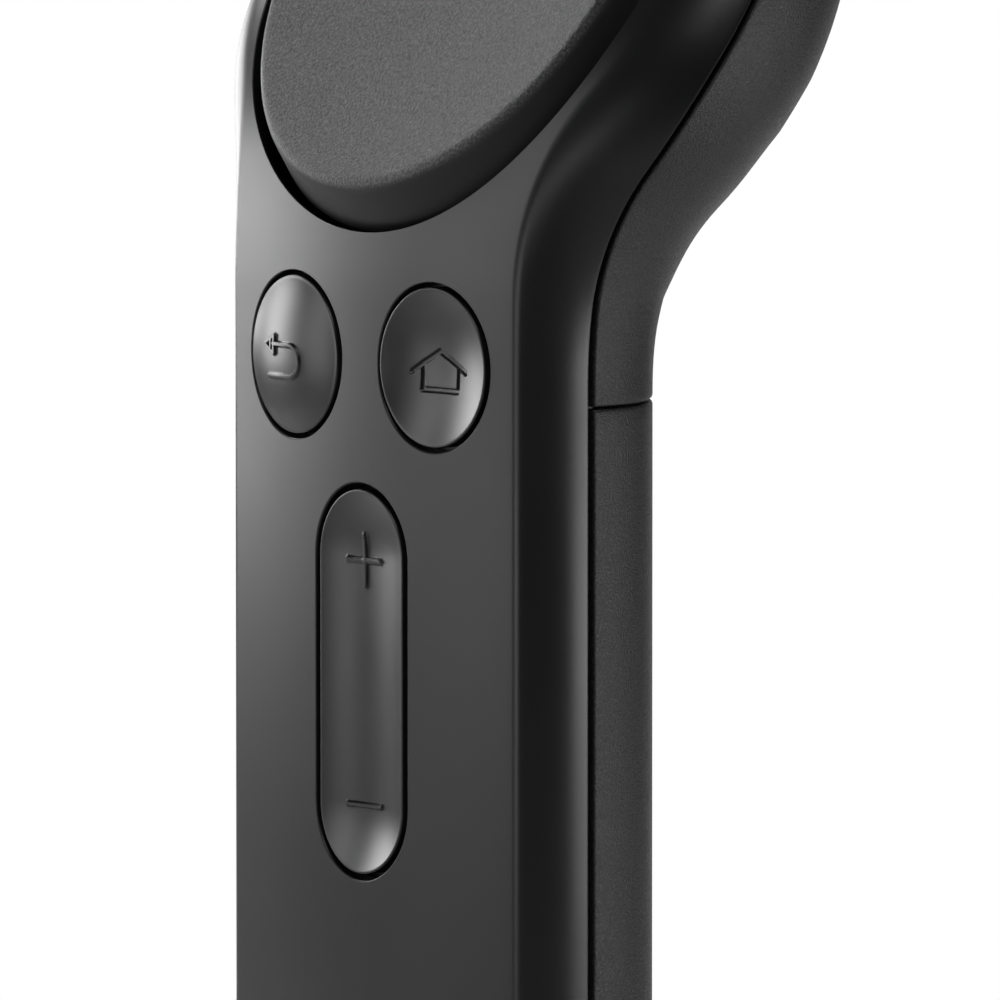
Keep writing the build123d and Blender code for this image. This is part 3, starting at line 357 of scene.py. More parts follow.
def coil(start, axis, base, tip, length, turns, wire):
    """Round wire along a helix whose radius runs from base to tip: the wire's circle is carried
    along it in the plane of the outward and the axis direction, and shrinks to closed ends. The
    first and the last turn rise less than the others."""
    t = np.linspace(0, 1, 40 * turns + 1)[:, None]
    turn = 2 * math.pi * turns * t
    close, rise = 1.2 / turns, 0.12
    flat = np.interp(t, (0, close, 1 - close, 1), (0, rise, 1 - rise, 1))
    radius = base + (tip - base) * flat
    around = np.linspace(0, 2 * math.pi, 12, endpoint=False)[None, :]
    thick = wire * np.sqrt(np.clip(np.minimum(t, 1 - t) * 150, 0, 1))
    r = radius + thick * np.cos(around)
    h = wire + (length - 2 * wire) * flat + thick * np.sin(around)
    a, b = r * np.cos(turn), r * np.sin(turn)
    x, y, z = (a, h, b) if axis == "y" else (a, b, h)
    points = np.stack([x, y, z], -1) + np.array(start)
    faces = grid_faces(len(t), 12, wrap=True)
    return points.reshape(-1, 3), faces


def pill_loop(spine, count=48, straight=60):
    """Loop round a pill: unit directions and the spine's end that each belongs to, so that a
    point of the loop is the spine's place plus the half width times the direction."""
    turn = np.linspace(0, math.pi, count)
    up = np.linspace(-spine, spine, straight + 2)[1:-1]
    one, none = np.ones(straight), np.zeros(straight)
    ux = np.concatenate([np.cos(turn), -one, np.cos(turn + math.pi), one])
    uz = np.concatenate([np.sin(turn), none, np.sin(turn + math.pi), none])
    centre = np.concatenate([np.full(count, spine), up[::-1], np.full(count, -spine), up])
    return ux, uz, centre


def face_depth(x, rise):
    """Depth of the face below the head's plane at x and rise: a circle's fall in the upper half;
    below it, the station is found by stepping it until its rise is right."""
    station = HEAD_STATION + rise
    for _ in range(14):
        points = section_point(x, station, crown(x))
        found, depth = to_head(points[..., 1], points[..., 2])
        station = station + rise - found
    return np.where(rise > 0, crown(np.hypot(x, rise)), depth)


def rim(edge, inside=3.0, outside=0.35):
    """How a hole's cutter widens, from inside to outside: straight, a rounded rim, then a flare."""
    turn = np.radians([0, 16, 32, 48, 64])
    wide, height = edge * (1 - np.cos(turn)), edge * (np.sin(turn) - 1)
    flare = (outside - height[-1]) * math.tan(turn[-1])
    wide = np.concatenate([[0], wide, [wide[-1] + flare]])
    return wide, np.concatenate([[-inside], height, [outside]])


def capped(points):
    """Closed plug from rings of points: quads between them and one face over each end."""
    rows, cols = points.shape[:2]
    faces = grid_faces(rows, cols, wrap=True).tolist()
    faces += [list(range(cols))[::-1], list(range((rows - 1) * cols, rows * cols))]
    return points.reshape(-1, 3), faces


def stroke_depth(u, v, strokes, width):
    """Height share of a sign's lines at points u, v: 1 in the middle of a line, easing to 0 at its
    edge, where the distance to a line is the distance to the nearest point of its segment."""
    near = np.full(np.shape(u), np.inf)
    for (ua, va), (ub, vb) in strokes:
        du, dv = ub - ua, vb - va
        t = np.clip(((u - ua) * du + (v - va) * dv) / (du * du + dv * dv), 0, 1)
        near = np.minimum(near, np.hypot(u - ua - t * du, v - va - t * dv))
    t = np.clip((width - near) / (SIGN_EASE_SHARE * width), 0, 1)
    return t * t * (3 - 2 * t)


def chain(*points):
    """Segments from point to point."""
    return list(zip(points[:-1], points[1:]))


def arc_points(cx, cy, radius, start, end, count):
    """Points along an arc about a centre, between two angles in degrees."""
    turn = np.radians(np.linspace(start, end, count))
    return list(zip(cx + radius * np.cos(turn), cy + radius * np.sin(turn)))


def piece(name, points, faces):
    """Mesh object from points in millimetres: merged, faces outwards, smooth up to a sharp angle."""
    mesh = bpy.data.meshes.new(name)
    points = np.asarray(points, float).reshape(-1, 3) * 0.001
    mesh.from_pydata(points, [], faces.tolist() if isinstance(faces, np.ndarray) else faces)
    work = bmesh.new()
    work.from_mesh(mesh)
    bmesh.ops.remove_doubles(work, verts=work.verts, dist=MERGE)
    bmesh.ops.recalc_face_normals(work, faces=work.faces)
    work.to_mesh(mesh)
    work.free()
    smooth(mesh, SHARP)
    made = bpy.data.objects.new(name, mesh)
    bpy.context.scene.collection.objects.link(made)
    return made


def smooth(mesh, sharp):
    """Shades a mesh smoothly, but for the edges past a sharp angle in degrees."""
    mesh.polygons.foreach_set("use_smooth", np.ones(len(mesh.polygons), bool))
    mesh.set_sharp_from_angle(angle=math.radians(sharp))


def joined(*parts):
    """Points and faces of several meshes put together as one."""
    points, faces, start = [], [], 0
    for found, quads in parts:
        found = np.asarray(found, float).reshape(-1, 3)
        quads = quads.tolist() if isinstance(quads, np.ndarray) else quads
        points.append(found)
        faces += [[k + start for k in face] for face in quads]
        start += len(found)
    return np.vstack(points), faces


def cut(target, *plugs):
    """Cuts closed plugs out of a piece, and keeps the result as its mesh."""
    for number, (points, faces) in enumerate(plugs):
        plug = piece(f"plug_{number}", points, faces)
        step = target.modifiers.new("cut", "BOOLEAN")
        step.operation, step.solver, step.object = "DIFFERENCE", "EXACT", plug
        bpy.context.view_layer.update()
        depsgraph = bpy.context.evaluated_depsgraph_get()
        mesh = bpy.data.meshes.new_from_object(target.evaluated_get(depsgraph))
        target.modifiers.clear()
        target.data = mesh
        bpy.data.objects.remove(plug)
    work = bmesh.new()
    work.from_mesh(target.data)
    bmesh.ops.remove_doubles(work, verts=work.verts, dist=MERGE)
    bmesh.ops.dissolve_degenerate(work, edges=work.edges, dist=MERGE / 2)
    work.to_mesh(target.data)
    work.free()
    smooth(target.data, SHARP_WHEN_CUT)


def dress(made, body, slot, finish, *nodes):
    """Gives a piece its material, rides it on a body and lets it stand for nodes. The slot is not used."""
    made.data.materials.clear()
    made.data.materials.append(finish)
    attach(made, body)
    if nodes:
        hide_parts(*nodes)


# Materials
class Wire:
    """A value on its way through a material's nodes. Sums and products on it add Math nodes."""

    def __init__(self, shop, socket):
        self.shop, self.socket = shop, socket

    def math(self, operation, *others):
        inputs = dict(enumerate((self, *others)))
        return self.shop.node("ShaderNodeMath", {"operation": operation}, inputs)

    def __add__(self, other):
        return self.math("ADD", other)

    def __sub__(self, other):
        return self.math("SUBTRACT", other)

    def __rsub__(self, other):
        return self.shop.node("ShaderNodeMath", {"operation": "SUBTRACT"}, {0: other, 1: self})

    def __mul__(self, other):
        return self.math("MULTIPLY", other)

    def __pow__(self, other):
        return self.math("POWER", other)

    __radd__, __rmul__ = __add__, __mul__


class Nodes:
    """Builds the nodes of one tree."""

    def __init__(self, tree):
        self.tree = tree
        tree.nodes.clear()

    def node(self, kind, settings, inputs, output=0):
        """Any node: its settings first, then values or links for its sockets, and one output."""
        made = self.tree.nodes.new(kind)
        for key, value in settings.items():
            if key == "stops":
                for number, (where, colour) in enumerate(value):
                    ramp = made.color_ramp.elements
                    stop = ramp[number] if number < 2 else ramp.new(where)
                    stop.position, stop.color = where, colour
            else:
                setattr(made, key, value)
        for key, value in inputs.items():
            if isinstance(value, Wire):
                self.tree.links.new(value.socket, made.inputs[key])
            else:
                made.inputs[key].default_value = value
        return Wire(self, made.outputs[output]) if len(made.outputs) else None

    def light_path(self):
        """Whether a ray is the camera's, mirrored, or passed through glass."""
        seen = self.node("ShaderNodeLightPath", {}, {}, "Is Camera Ray")
        outputs = seen.socket.node.outputs
        return seen, Wire(self, outputs["Is Glossy Ray"]), Wire(self, outputs["Is Transmission Ray"])

    def along(self, place, direction):
        """How far a place lies along a direction: their dot product."""
        inputs = {0: place, 1: direction}
        return self.node("ShaderNodeVectorMath", {"operation": "DOT_PRODUCT"}, inputs, "Value")

    def ramp(self, value, low, high, start=0.0, end=1.0):
        """Value moved from the range start to end into low to high, and held there."""
        values = {"Value": value, "From Min": start, "From Max": end, "To Min": low, "To Max": high}
        return self.node("ShaderNodeMapRange", {"clamp": True}, values)


class Finish(Nodes):
    """Builds the nodes of one material."""

    def __init__(self, name):
        self.material = bpy.data.materials.new(name)
        self.material.use_nodes = True
        super().__init__(self.material.node_tree)
        self.place = self.node("ShaderNodeTexCoord", {}, {}, "Object")

    def noise(self, scale, detail=2.0, rough=0.5, warp=0.0):
        """Noise whose features are about 1/scale metres across."""
        values = {"Vector": self.place, "Scale": scale, "Detail": detail, "Roughness": rough}
        return self.node("ShaderNodeTexNoise", {}, {**values, "Distortion": warp})

    def from_head_axis(self):
        """Distance from the head's axis: the root of x squared plus the rise squared."""
        parts = self.node("ShaderNodeSeparateXYZ", {}, {"Vector": self.place}, "X")
        y, z = (Wire(self, parts.socket.node.outputs[name]) for name in "YZ")
        y0, z0 = face_point(np.float64(HEAD_STATION))
        s, c = math.sin(HEAD_LEAN), math.cos(HEAD_LEAN)
        rise = y * s + z * c - 0.001 * float(y0 * s + z0 * c)
        return (parts * parts + rise * rise) ** 0.5

    def tint(self, factor, first, second):
        """Colour between two colours."""
        made = self.tree.nodes.new("ShaderNodeMix")
        made.data_type = "RGBA"
        self.tree.links.new(factor.socket, made.inputs[0])
        for slot, colour in ((6, first), (7, second)):
            if isinstance(colour, Wire):
                self.tree.links.new(colour.socket, made.inputs[slot])
            else:
                made.inputs[slot].default_value = (*colour, 1)
        return Wire(self, made.outputs[2])

    def bump(self, height, strength, distance):
        """Normal tilted by a height, whose full range stands for a distance in metres."""
        values = {"Height": height, "Strength": strength, "Distance": distance}
        return self.node("ShaderNodeBump", {}, values)

    def done(self, **values):
        """Ends in a Principled surface with the given values, named as its sockets are."""
        inputs = {key.replace("_", " "): value for key, value in values.items()}
        surface = self.node("ShaderNodeBsdfPrincipled", {}, inputs)
        out = self.tree.nodes.new("ShaderNodeOutputMaterial")
        self.tree.links.new(surface.socket, out.inputs[0])
        return self.material


def shade(colour, share):
    """A colour made darker or lighter by a share."""
    return tuple(min(channel * share, 1) for channel in colour)


def satin_plastic(name, colour, roughness, shine):
    """Smooth moulded plastic: nearly even colour, a faint drift in gloss and a very fine texture."""
    shop, mottle = Finish(name), 0.08
    drift = shop.noise(90, 3)
    fine = shop.noise(5200, 2)
    base = shop.tint(drift, shade(colour, 1 - mottle), shade(colour, 1 + mottle))
    gloss = shop.ramp(drift, roughness - 0.025, roughness + 0.025, 0.3, 0.7)
    normal = shop.bump(fine, 0.25, 0.00001)
    return shop.done(Base_Color=base, Roughness=gloss, Normal=normal, Specular_IOR_Level=shine)


def grained_plastic(name, colour, glint_specks, roughness, shine, height, smooth_shaded_from=None):
    """Spark-grained plastic: pits and humps of two sizes, with pale specks on the humps as painted glints.
    Past a distance from the head's axis, where one is given, the plastic is smooth and darkened, as painted
    shade on the pad's side."""
    shop = Finish(name)
    scale = 6500
    coarse, fine = shop.noise(scale, 2, 0.55), shop.noise(scale * 2.3, 2, 0.6)
    grain = shop.ramp(coarse * 0.62 + fine * 0.38, 0, 1, 0.34, 0.66)
    # Painted glints: the humps turn to the pale speck colour, standing in for the light that the grain
    # catches.
    base = shop.tint(grain ** 2.0, shade(colour, 0.6), glint_specks)
    gloss = shop.ramp(grain, roughness + 0.08, roughness - 0.08)
    if smooth_shaded_from:
        start, end = smooth_shaded_from * 0.001, (smooth_shaded_from + 0.25) * 0.001
        side = shop.ramp(shop.from_head_axis(), 0, 1, start, end)
        # Painted shade: past that distance the colour drops to 0.4 of the plastic's, standing in for the
        # shade on the pad's side.
        base = shop.tint(side, base, shade(colour, 0.4))
        gloss = gloss * (1 - side) + side * 0.55
        grain = grain * (1 - side)
    normal = shop.bump(grain, 1.0, height)
    return shop.done(Base_Color=base, Roughness=gloss, Normal=normal, Specular_IOR_Level=shine)


def plain_plastic(name, colour, roughness):
    """Inner moulded plastic with a faint flow pattern."""
    shop = Finish(name)
    drift = shop.noise(240, 3, 0.6, 0.4)
    base = shop.tint(drift, shade(colour, 0.85), shade(colour, 1.15))
    return shop.done(Base_Color=base, Roughness=shop.ramp(drift, roughness - 0.05, roughness + 0.05))


def clear_plastic(name, colour):
    """Milky clear plastic of the light pipe and the lamp, slightly uneven."""
    shop = Finish(name)
    drift = shop.noise(900, 2)
    base = shop.tint(drift, shade(colour, 0.92), colour)
    return shop.done(Base_Color=base, Roughness=shop.ramp(drift, 0.12, 0.22), Coat_Weight=0.4)


def circuit_board(name, colour, copper):
    """Solder resist over copper lines: bands across in some places and up in the others, chosen by
    a coarse noise."""
    shop = Finish(name)
    parts = shop.node("ShaderNodeSeparateXYZ", {}, {"Vector": shop.place}, "X")
    up = Wire(shop, parts.socket.node.outputs["Z"])
    rows = ((parts * 900).math("SINE") * 0.5 + 0.5) ** 6.0
    lines = ((up * 1300).math("SINE") * 0.5 + 0.5) ** 6.0
    where = shop.ramp(shop.noise(260, 1), 0, 1, 0.48, 0.54)
    mask = rows * where + lines * (1 - where)
    base = shop.tint(mask, colour, copper)
    gloss = shop.ramp(mask, 0.32, 0.42)
    return shop.done(Base_Color=base, Roughness=gloss, Normal=shop.bump(mask, 0.4, 0.00003))


def sheet_metal(name, colour, roughness):
    """Drawn metal: long thin scratches from noise that is stretched along one direction."""
    shop = Finish(name)
    stretch = {"Vector": shop.place, "Scale": (1.0, 9.0, 9.0)}
    long = shop.node("ShaderNodeMapping", {"vector_type": "POINT"}, stretch)
    streak = shop.node("ShaderNodeTexNoise", {}, {"Vector": long, "Scale": 900.0, "Detail": 3.0})
    base = shop.tint(streak, shade(colour, 0.82), shade(colour, 1.05))
    gloss = shop.ramp(streak, roughness - 0.08, roughness + 0.1, 0.3, 0.7)
    normal = shop.bump(streak, 0.2, 0.00001)
    return shop.done(Base_Color=base, Metallic=1.0, Roughness=gloss, Normal=normal)


def cell_wrap(name, colour, metal, foot):
    """Printed sleeve of a cell, whose body starts at a foot in millimetres: bare metal past its two
    ends, with a pale band near the upper one."""
    shop = Finish(name)
    low, high = 0.001 * (foot + CELL_EASE), 0.001 * (foot + CELL_BODY - CELL_EASE)
    parts = shop.node("ShaderNodeSeparateXYZ", {}, {"Vector": shop.place}, "Z")
    ends = shop.ramp(parts, 1, 0, low, low + 0.0001) + shop.ramp(parts, 0, 1, high - 0.0001, high)
    band = shop.ramp((parts - (high - 0.006)).math("ABSOLUTE"), 1, 0, 0.003, 0.0032)
    base = shop.tint(ends, shop.tint(band, colour, (0.45, 0.45, 0.44)), metal)
    gloss = shop.ramp(shop.noise(400, 3), 0.22, 0.34)
    return shop.done(Base_Color=base, Metallic=ends, Roughness=gloss)


FINISHES = {}


def finish(name, context):
    """The named finish, made on first use."""
    if name not in FINISHES:
        FINISHES[name] = make_finish(name, context.scene.controller_look)
    return FINISHES[name]


def make_finish(name, look):
    """Makes the named finish; the outside's colours and gloss come from the settings."""
    face, button = tuple(look.face_colour), tuple(look.button_colour)
    # The pale speck colours are painted glints of the grain.
    back, back_glint_specks = tuple(look.back_colour), (0.03, 0.03, 0.031)
    pad, pad_glint_specks = tuple(look.pad_colour), (0.06, 0.06, 0.061)
    sleeve, bare = (0.03, 0.035, 0.045), (0.6, 0.6, 0.6)
    left_foot, right_foot = BAY_FOOT + SPRING_LENGTH, BAY_FOOT + CELL_LENGTH - CELL_BODY
    # Where the pad's side begins: smooth, and darkened as painted shade.
    smooth_shaded_from = PAD_EDGE - 0.1
    makers = {
        "face": lambda: satin_plastic("face_plastic", face, look.face_roughness, 0.34),
        "back": lambda: grained_plastic("back_plastic", back, back_glint_specks, 0.44, 0.4, 0.00003),
        "pad": lambda: grained_plastic("pad_plastic", pad, pad_glint_specks, 0.44, 0.33, 0.00004, smooth_shaded_from),
        "button": lambda: satin_plastic("button_plastic", button, look.button_roughness, 0.44),
        "frame": lambda: plain_plastic("frame_plastic", (0.06, 0.06, 0.065), 0.5),
        "lens": lambda: clear_plastic("lens_plastic", (0.6, 0.6, 0.62)),
        "board": lambda: circuit_board("board", (0.012, 0.07, 0.03), (0.05, 0.16, 0.06)),
        "flex": lambda: plain_plastic("flex", (0.42, 0.2, 0.04), 0.35),
        "steel": lambda: sheet_metal("steel", (0.5, 0.5, 0.51), 0.32),
        "nickel": lambda: sheet_metal("nickel", (0.66, 0.65, 0.62), 0.2),
        "left_cell": lambda: cell_wrap("left_cell_wrap", sleeve, bare, left_foot),
        "right_cell": lambda: cell_wrap("right_cell_wrap", sleeve, bare, right_foot),
    }
    return makers[name]()


class CONTROLLER_PG_look(bpy.types.PropertyGroup):
    """Sizes and colours that can be changed"""

    crease_round: bpy.props.FloatProperty(
        name="Crease", default=0.35, min=0.1, max=2,
        description="Size of the eased crease round the face, in millimetres")
    seam_round: bpy.props.FloatProperty(
        name="Seam edge", default=0.22, min=0.05, max=1,
        description="Size of the eased edges at the seams, in millimetres")
    rim_round: bpy.props.FloatProperty(
        name="Hole rims", default=0.14, min=0.05, max=1,
        description="Size of the eased rims of the holes, in millimetres")
    sign_height: bpy.props.FloatProperty(
        name="Sign height", default=0.17, min=0, max=0.4,
        description="Height of the signs' lines, in millimetres")
    sign_width: bpy.props.FloatProperty(
        name="Sign line", default=0.2, min=0.05, max=0.5,
        description="Half width of the signs' lines, in millimetres")
    face_colour: bpy.props.FloatVectorProperty(
        name="Face", subtype="COLOR", default=(0.006, 0.0061, 0.0064),
        description="Colour of the smooth face plastic")
    back_colour: bpy.props.FloatVectorProperty(
        name="Back", subtype="COLOR", default=(0.011, 0.0112, 0.0116),
        description="Colour of the grained back plastic")
    pad_colour: bpy.props.FloatVectorProperty(
        name="Pad", subtype="COLOR", default=(0.011, 0.0112, 0.0116),
        description="Colour of the grained pad")
    button_colour: bpy.props.FloatVectorProperty(
        name="Buttons", subtype="COLOR", default=(0.006, 0.0061, 0.0064),
        description="Colour of the buttons and rocker")
    face_roughness: bpy.props.FloatProperty(
        name="Face gloss", subtype="FACTOR", default=0.35, min=0, max=1,
        description="Roughness of the smooth face plastic")
    button_roughness: bpy.props.FloatProperty(
        name="Button gloss", subtype="FACTOR", default=0.31, min=0, max=1,
        description="Roughness of the buttons")


def shell_rows():
    """Stations of the shells' rows up to the head's centre, closer together where they bend."""
    straight = np.linspace(ROWS_FROM, BEND_STATION, 10)[:-1]
    return np.concatenate([straight, np.linspace(BEND_STATION, HEAD_STATION, 46)])


def end_rows():
    """Stations and insets of the rows round the base end's edge: a quarter of a circle."""
    turn = np.linspace(0, math.pi / 2, 9)
    return END_ROUND * (1 - np.cos(turn)), END_ROUND * (1 - np.sin(turn))


def inner_stations(station):
    """Stations of the inner sheet's rows: near the base end they move up to the end's wall."""
    raised = END_WALL + (END_ROUND - END_WALL) * station / END_ROUND
    return np.where(station < END_ROUND, raised, station)


def sheet(x, depth, station, level=None, head=True):
    """Half of a shell's sheet: its sections, with a row across the base end where a level is
    given, and the last section swept round the head where the shell reaches it."""
    rows = [section_point(x, station[:, None], depth)]
    if level is not None:
        rows.insert(0, base_row(x, depth, station, level))
    if head:
        rows.append(swept_head(x[-1], depth[-1]))
    return np.concatenate(rows)


def rod(radius, low, high, place, order=(0, 1, 2)):
    """Closed rod through a place, from low to high along z, or along the axis that the new order
    of its coordinates makes of z."""
    points, faces = lathe([0, radius, radius, 0], [low, low, high, high], 48)
    return points.reshape(-1, 3)[:, order] + place, faces


class CONTROLLER_OT_front_shell(bpy.types.Operator):
    """Front shell: crowned face, side bands and base end, with its holes and the pad's collar"""

    bl_idname = "controller.front_shell"
    bl_label = "Front shell"

    def execute(self, context):
        look = context.scene.controller_look
        round_z, round_inset = end_rows()
        plain = np.concatenate([np.linspace(END_ROUND, ROWS_FROM, 64)[1:-1], shell_rows()])
        station = np.concatenate([round_z, plain])
        inset = np.concatenate([round_inset, 0 * plain])
        lip = LIP_REACH * np.clip((station - LIP_START) / LIP_RUN, 0, 1)
        x, depth = front_profile(station, inset, inset, look.crease_round, look.seam_round, LIP_OUT, lip)
        outer = sheet(x, depth, station, FRONT_LEVEL)
        inside, lip_inside = inner_stations(station), LIP_IN + LIP_THINNING
        x, depth = front_profile(inside, FRONT_WALL, LIP_IN, INNER_CREASE, INNER_EDGE, lip_inside, lip)
        inner = sheet(x, depth, inside, FRONT_LEVEL)
        made = piece("front_shell_skin", *wall_mesh(outer, inner))
        cut(
            made,
            self.button_plug(look, -1),
            self.button_plug(look, 1),
            self.slot_plug(look),
            rod(LAMP_HOLE, -3, 3, (0, FACE_Y, LAMP_HEIGHT), order=(0, 2, 1)),
            rod(STRAP_HOLE, -1, 3, (0, FACE_Y + STRAP_DEPTH, 0)),
            self.pad_plug(look),
        )
        dress(made, "body", "face_plastic", finish("face", context), "front_shell")
        collar = piece("pad_collar", *self.collar())
        dress(collar, "body", "face_plastic", finish("face", context))
        return {"FINISHED"}

    def pad_plug(self, look):
        """Plug along the head's axis, whose rim follows the depth of the face round it."""
        wide, height = rim(look.rim_round, PAD_PLUG_IN, PAD_PLUG_OUT)
        turn = np.linspace(0, 2 * math.pi, 251, endpoint=False)[None, :] + 0.004
        radius = PAD_OPENING + wide[:, None]
        x, rise = radius * np.cos(turn), radius * np.sin(turn)
        edge = face_depth(PAD_OPENING * np.cos(turn), PAD_OPENING * np.sin(turn))
        depth = np.where(height[:, None] < 0, edge, face_depth(x, rise)) - height[:, None]
        x, rise = np.vstack([x, x[-1:]]), np.vstack([rise, rise[-1:]])
        depth = np.vstack([depth, np.full_like(x[-1:], -PAD_PLUG_TOP)])
        return capped(head_point(x, rise, depth))

    def button_plug(self, look, side):
        """Plug square to the crowned face at a button; its rim follows the crown."""
        wide, height = rim(look.rim_round)
        turn = np.linspace(0, 2 * math.pi, 128, endpoint=False)[None, :]
        radius = BUTTON_HOLE + wide[:, None]
        u, v = radius * np.cos(turn), radius * np.sin(turn)
        return capped(on_button(side, u, v, height[:, None] - u**2 / (2 * CROWN_RADIUS)))

    def slot_plug(self, look):
        """Plug of the rocker's slot: a pill that widens at the rim and follows the crown."""
        wide, height = rim(look.rim_round)
        ux, uz, centre = pill_loop((SLOT_LENGTH - SLOT_WIDTH) / 2)
        half = SLOT_WIDTH / 2 + wide[:, None]
        x, z = half * ux, ROCKER_HEIGHT + centre + half * uz
        return capped(section_point(x, z, crown(x) - height[:, None]))

    def collar(self):
        """Ring behind the opening, from inside the wall to the pad's flange, open at its foot."""
        turn = np.linspace(0, 2 * math.pi, 256, endpoint=False)
        gone = COLLAR_RADIUS * np.sin(turn) <= -COLLAR_CUT
        turn = np.roll(turn, -int(np.argmax(gone)) - int(gone.sum()))[: int((~gone).sum())]
        top = face_depth(PAD_OPENING * np.cos(turn), PAD_OPENING * np.sin(turn)) + COLLAR_START
        foot = np.maximum(top + COLLAR_LEAST, COLLAR_END)
        depth = np.stack([top, top, foot, foot], -1)
        near = PAD_OPENING + COLLAR_SLIP
        radius, turn = np.array([near, COLLAR_RADIUS, COLLAR_RADIUS, near]), turn[:, None]
        return capped(head_point(radius * np.cos(turn), radius * np.sin(turn), depth))


def on_button(side, u, v, height):
    """Points on a round button's plane: u to the right, v up, height straight out of the face."""
    x0 = side * BUTTON_SPREAD
    tilt = math.asin(x0 / CROWN_RADIUS)
    c, s = math.cos(tilt), math.sin(tilt)
    x, y = x0 + u * c + height * s, FACE_Y + crown(x0) + u * s - height * c
    x, y, z = np.broadcast_arrays(x, y, BUTTON_HEIGHT + v)
    return np.stack([x, y, z], -1)


class CONTROLLER_OT_rear_shells(bpy.types.Operator):
    """Rear housing with the trigger's opening, and the sliding battery cover"""

    bl_idname = "controller.rear_shells"
    bl_label = "Rear housing and battery cover"

    def execute(self, context):
        look = context.scene.controller_look
        made = piece("rear_housing_skin", *self.housing(look))
        cut(made, self.trigger_plug())
        dress(made, "body", "back_plastic", finish("back", context), "rear_housing")
        dress(piece("housing_ears", *self.ears()), "body", "back_plastic", finish("frame", context))
        made = piece("battery_cover_skin", *self.cover(look))
        dress(made, "cover", "back_plastic", finish("back", context), "battery_cover")
        dress(piece("cover_hooks", *self.hooks()), "cover", "back_plastic", finish("frame", context))
        return {"FINISHED"}

    def housing(self, look):
        """Housing: sections from the split line up to the head's centre, then swept round the head."""
        rows = shell_rows()
        station = np.concatenate([SPLIT_HIGH + SPLIT_STEPS, rows])
        inset = np.concatenate([look.seam_round * SPLIT_EDGE_SHARES, 0 * rows])
        outer = sheet(*rear_profile(station, 0, inset, look.seam_round), station)
        inner = sheet(*rear_profile(station, REAR_WALL, 0, INNER_EDGE), station)
        return wall_mesh(outer, inner)

    def ears(self):
        """Two ears: a plate down into the handle, a block above it and a shelf out to the wall."""
        s, blocks = SET_BACK, []
        for side in (1, -1):
            low, high = sorted((side * EAR_IN, side * EAR_OUT))
            near, far = sorted((side * EAR_IN, side * EAR_FAR))
            blocks += [
                block((low, EAR_FRONT, EAR_FOOT), (high, EAR_FRONT + EAR_PLATE, EAR_TOP)),
                block((low + s, EAR_FRONT + s, EAR_STEP), (high - s, -s, EAR_TOP - s)),
                block((near, -EAR_SHELF, EAR_STEP + s), (far, 0, EAR_TOP - 2 * s)),
            ]
        return joined(*blocks)

    def cover(self, look):
        """Cover: sections from the base end to the split line, less the thumb dish, a ball's cap."""
        round_z, round_inset = end_rows()
        body = np.linspace(END_ROUND, SPLIT_LOW - SPLIT_STEPS[2], 70)[1:]
        station = np.concatenate([round_z, body, SPLIT_LOW - SPLIT_STEPS[1::-1]])
        inset = np.concatenate([round_inset, 0 * body, look.seam_round * SPLIT_EDGE_SHARES[1::-1]])
        x, depth = rear_profile(station, 0, inset, look.seam_round)
        across = np.hypot(x, station[:, None] - (SPLIT_LOW - THUMB_DROP))
        along = FACE_Y + depth - (THUMB_BALL - FACE_Y - THUMB_SINK)
        dish = np.clip(THUMB_BALL - np.hypot(across, along), 0, THUMB_SINK)
        outer = sheet(x, depth - dish * (depth > THUMB_BEHIND), station, REAR_LEVEL, head=False)
        inside = inner_stations(station)
        inner = rear_profile(inside, COVER_WALL, 0, INNER_EDGE)
        return self.open_wall(outer, sheet(*inner, inside, REAR_LEVEL, head=False))

    def open_wall(self, outer, inner):
        """As the wall mesh, with a rim along the last row too, because the cover ends there."""
        points, faces = wall_mesh(outer, inner)
        rows, cols = outer.shape[:2]
        count, k = rows * cols, (rows - 1) * cols + np.arange(cols)
        top = np.stack([k[:-1], k[1:], k[1:] + count, k[:-1] + count], -1)
        return points, np.vstack([faces, top, top[:, ::-1] + 2 * count])

    def hooks(self):
        """Tongue at the cover's top, and two pairs of hooks that reach in from its sides."""
        s, half = SET_BACK, HOOK_LENGTH / 2
        step = TONGUE_Y + TONGUE_THICK - TONGUE_LAP
        blocks = [
            block((-TONGUE_HALF, TONGUE_Y, TONGUE_FOOT), (TONGUE_HALF, TONGUE_Y + TONGUE_THICK, TONGUE_TOP)),
            block((-TONGUE_HALF, step, TONGUE_FOOT), (TONGUE_HALF, step + TONGUE_THICK, TONGUE_ROOT)),
        ]
        for z in HOOK_HEIGHTS:
            for side in (1, -1):
                low, high = sorted((side * HOOK_IN, side * HOOK_OUT))
                blocks.append(block((low, HOOK_FRONT, z - half), (high, HOOK_BACK, z + half), HOOK_EDGE))
                low, high = sorted((side * HOOK_TIP, side * (HOOK_OUT - s)))
                foot, top = HOOK_FRONT + s, HOOK_FRONT + HOOK_THICK
                blocks.append(block((low, foot, z - half + s), (high, top, z + half - s), HOOK_EDGE))
        return joined(*blocks)

    def trigger_plug(self):
        """Plug of the trigger's opening: a sector of a cylinder about the trigger's pivot."""
        y, z = pivot()
        turn = np.radians(np.linspace(-90, 0, 25))
        radius, top = SWEEP + TRIGGER_GAP, OPENING_SHARE * SWEEP + TRIGGER_GAP
        ys = np.concatenate([y + radius * np.cos(turn), [y + radius, y]])
        zs = np.concatenate([z + radius * np.sin(turn), [z + top, z + top]])
        half = TRIGGER_HALF + TRIGGER_GAP
        return capped(np.stack(np.broadcast_arrays(np.array([[-half], [half]]), ys, zs), -1))


def pivot():
    """y and z of the trigger's pivot."""
    return head_point(0.0, PIVOT_RISE, PIVOT_DEPTH)[1:]


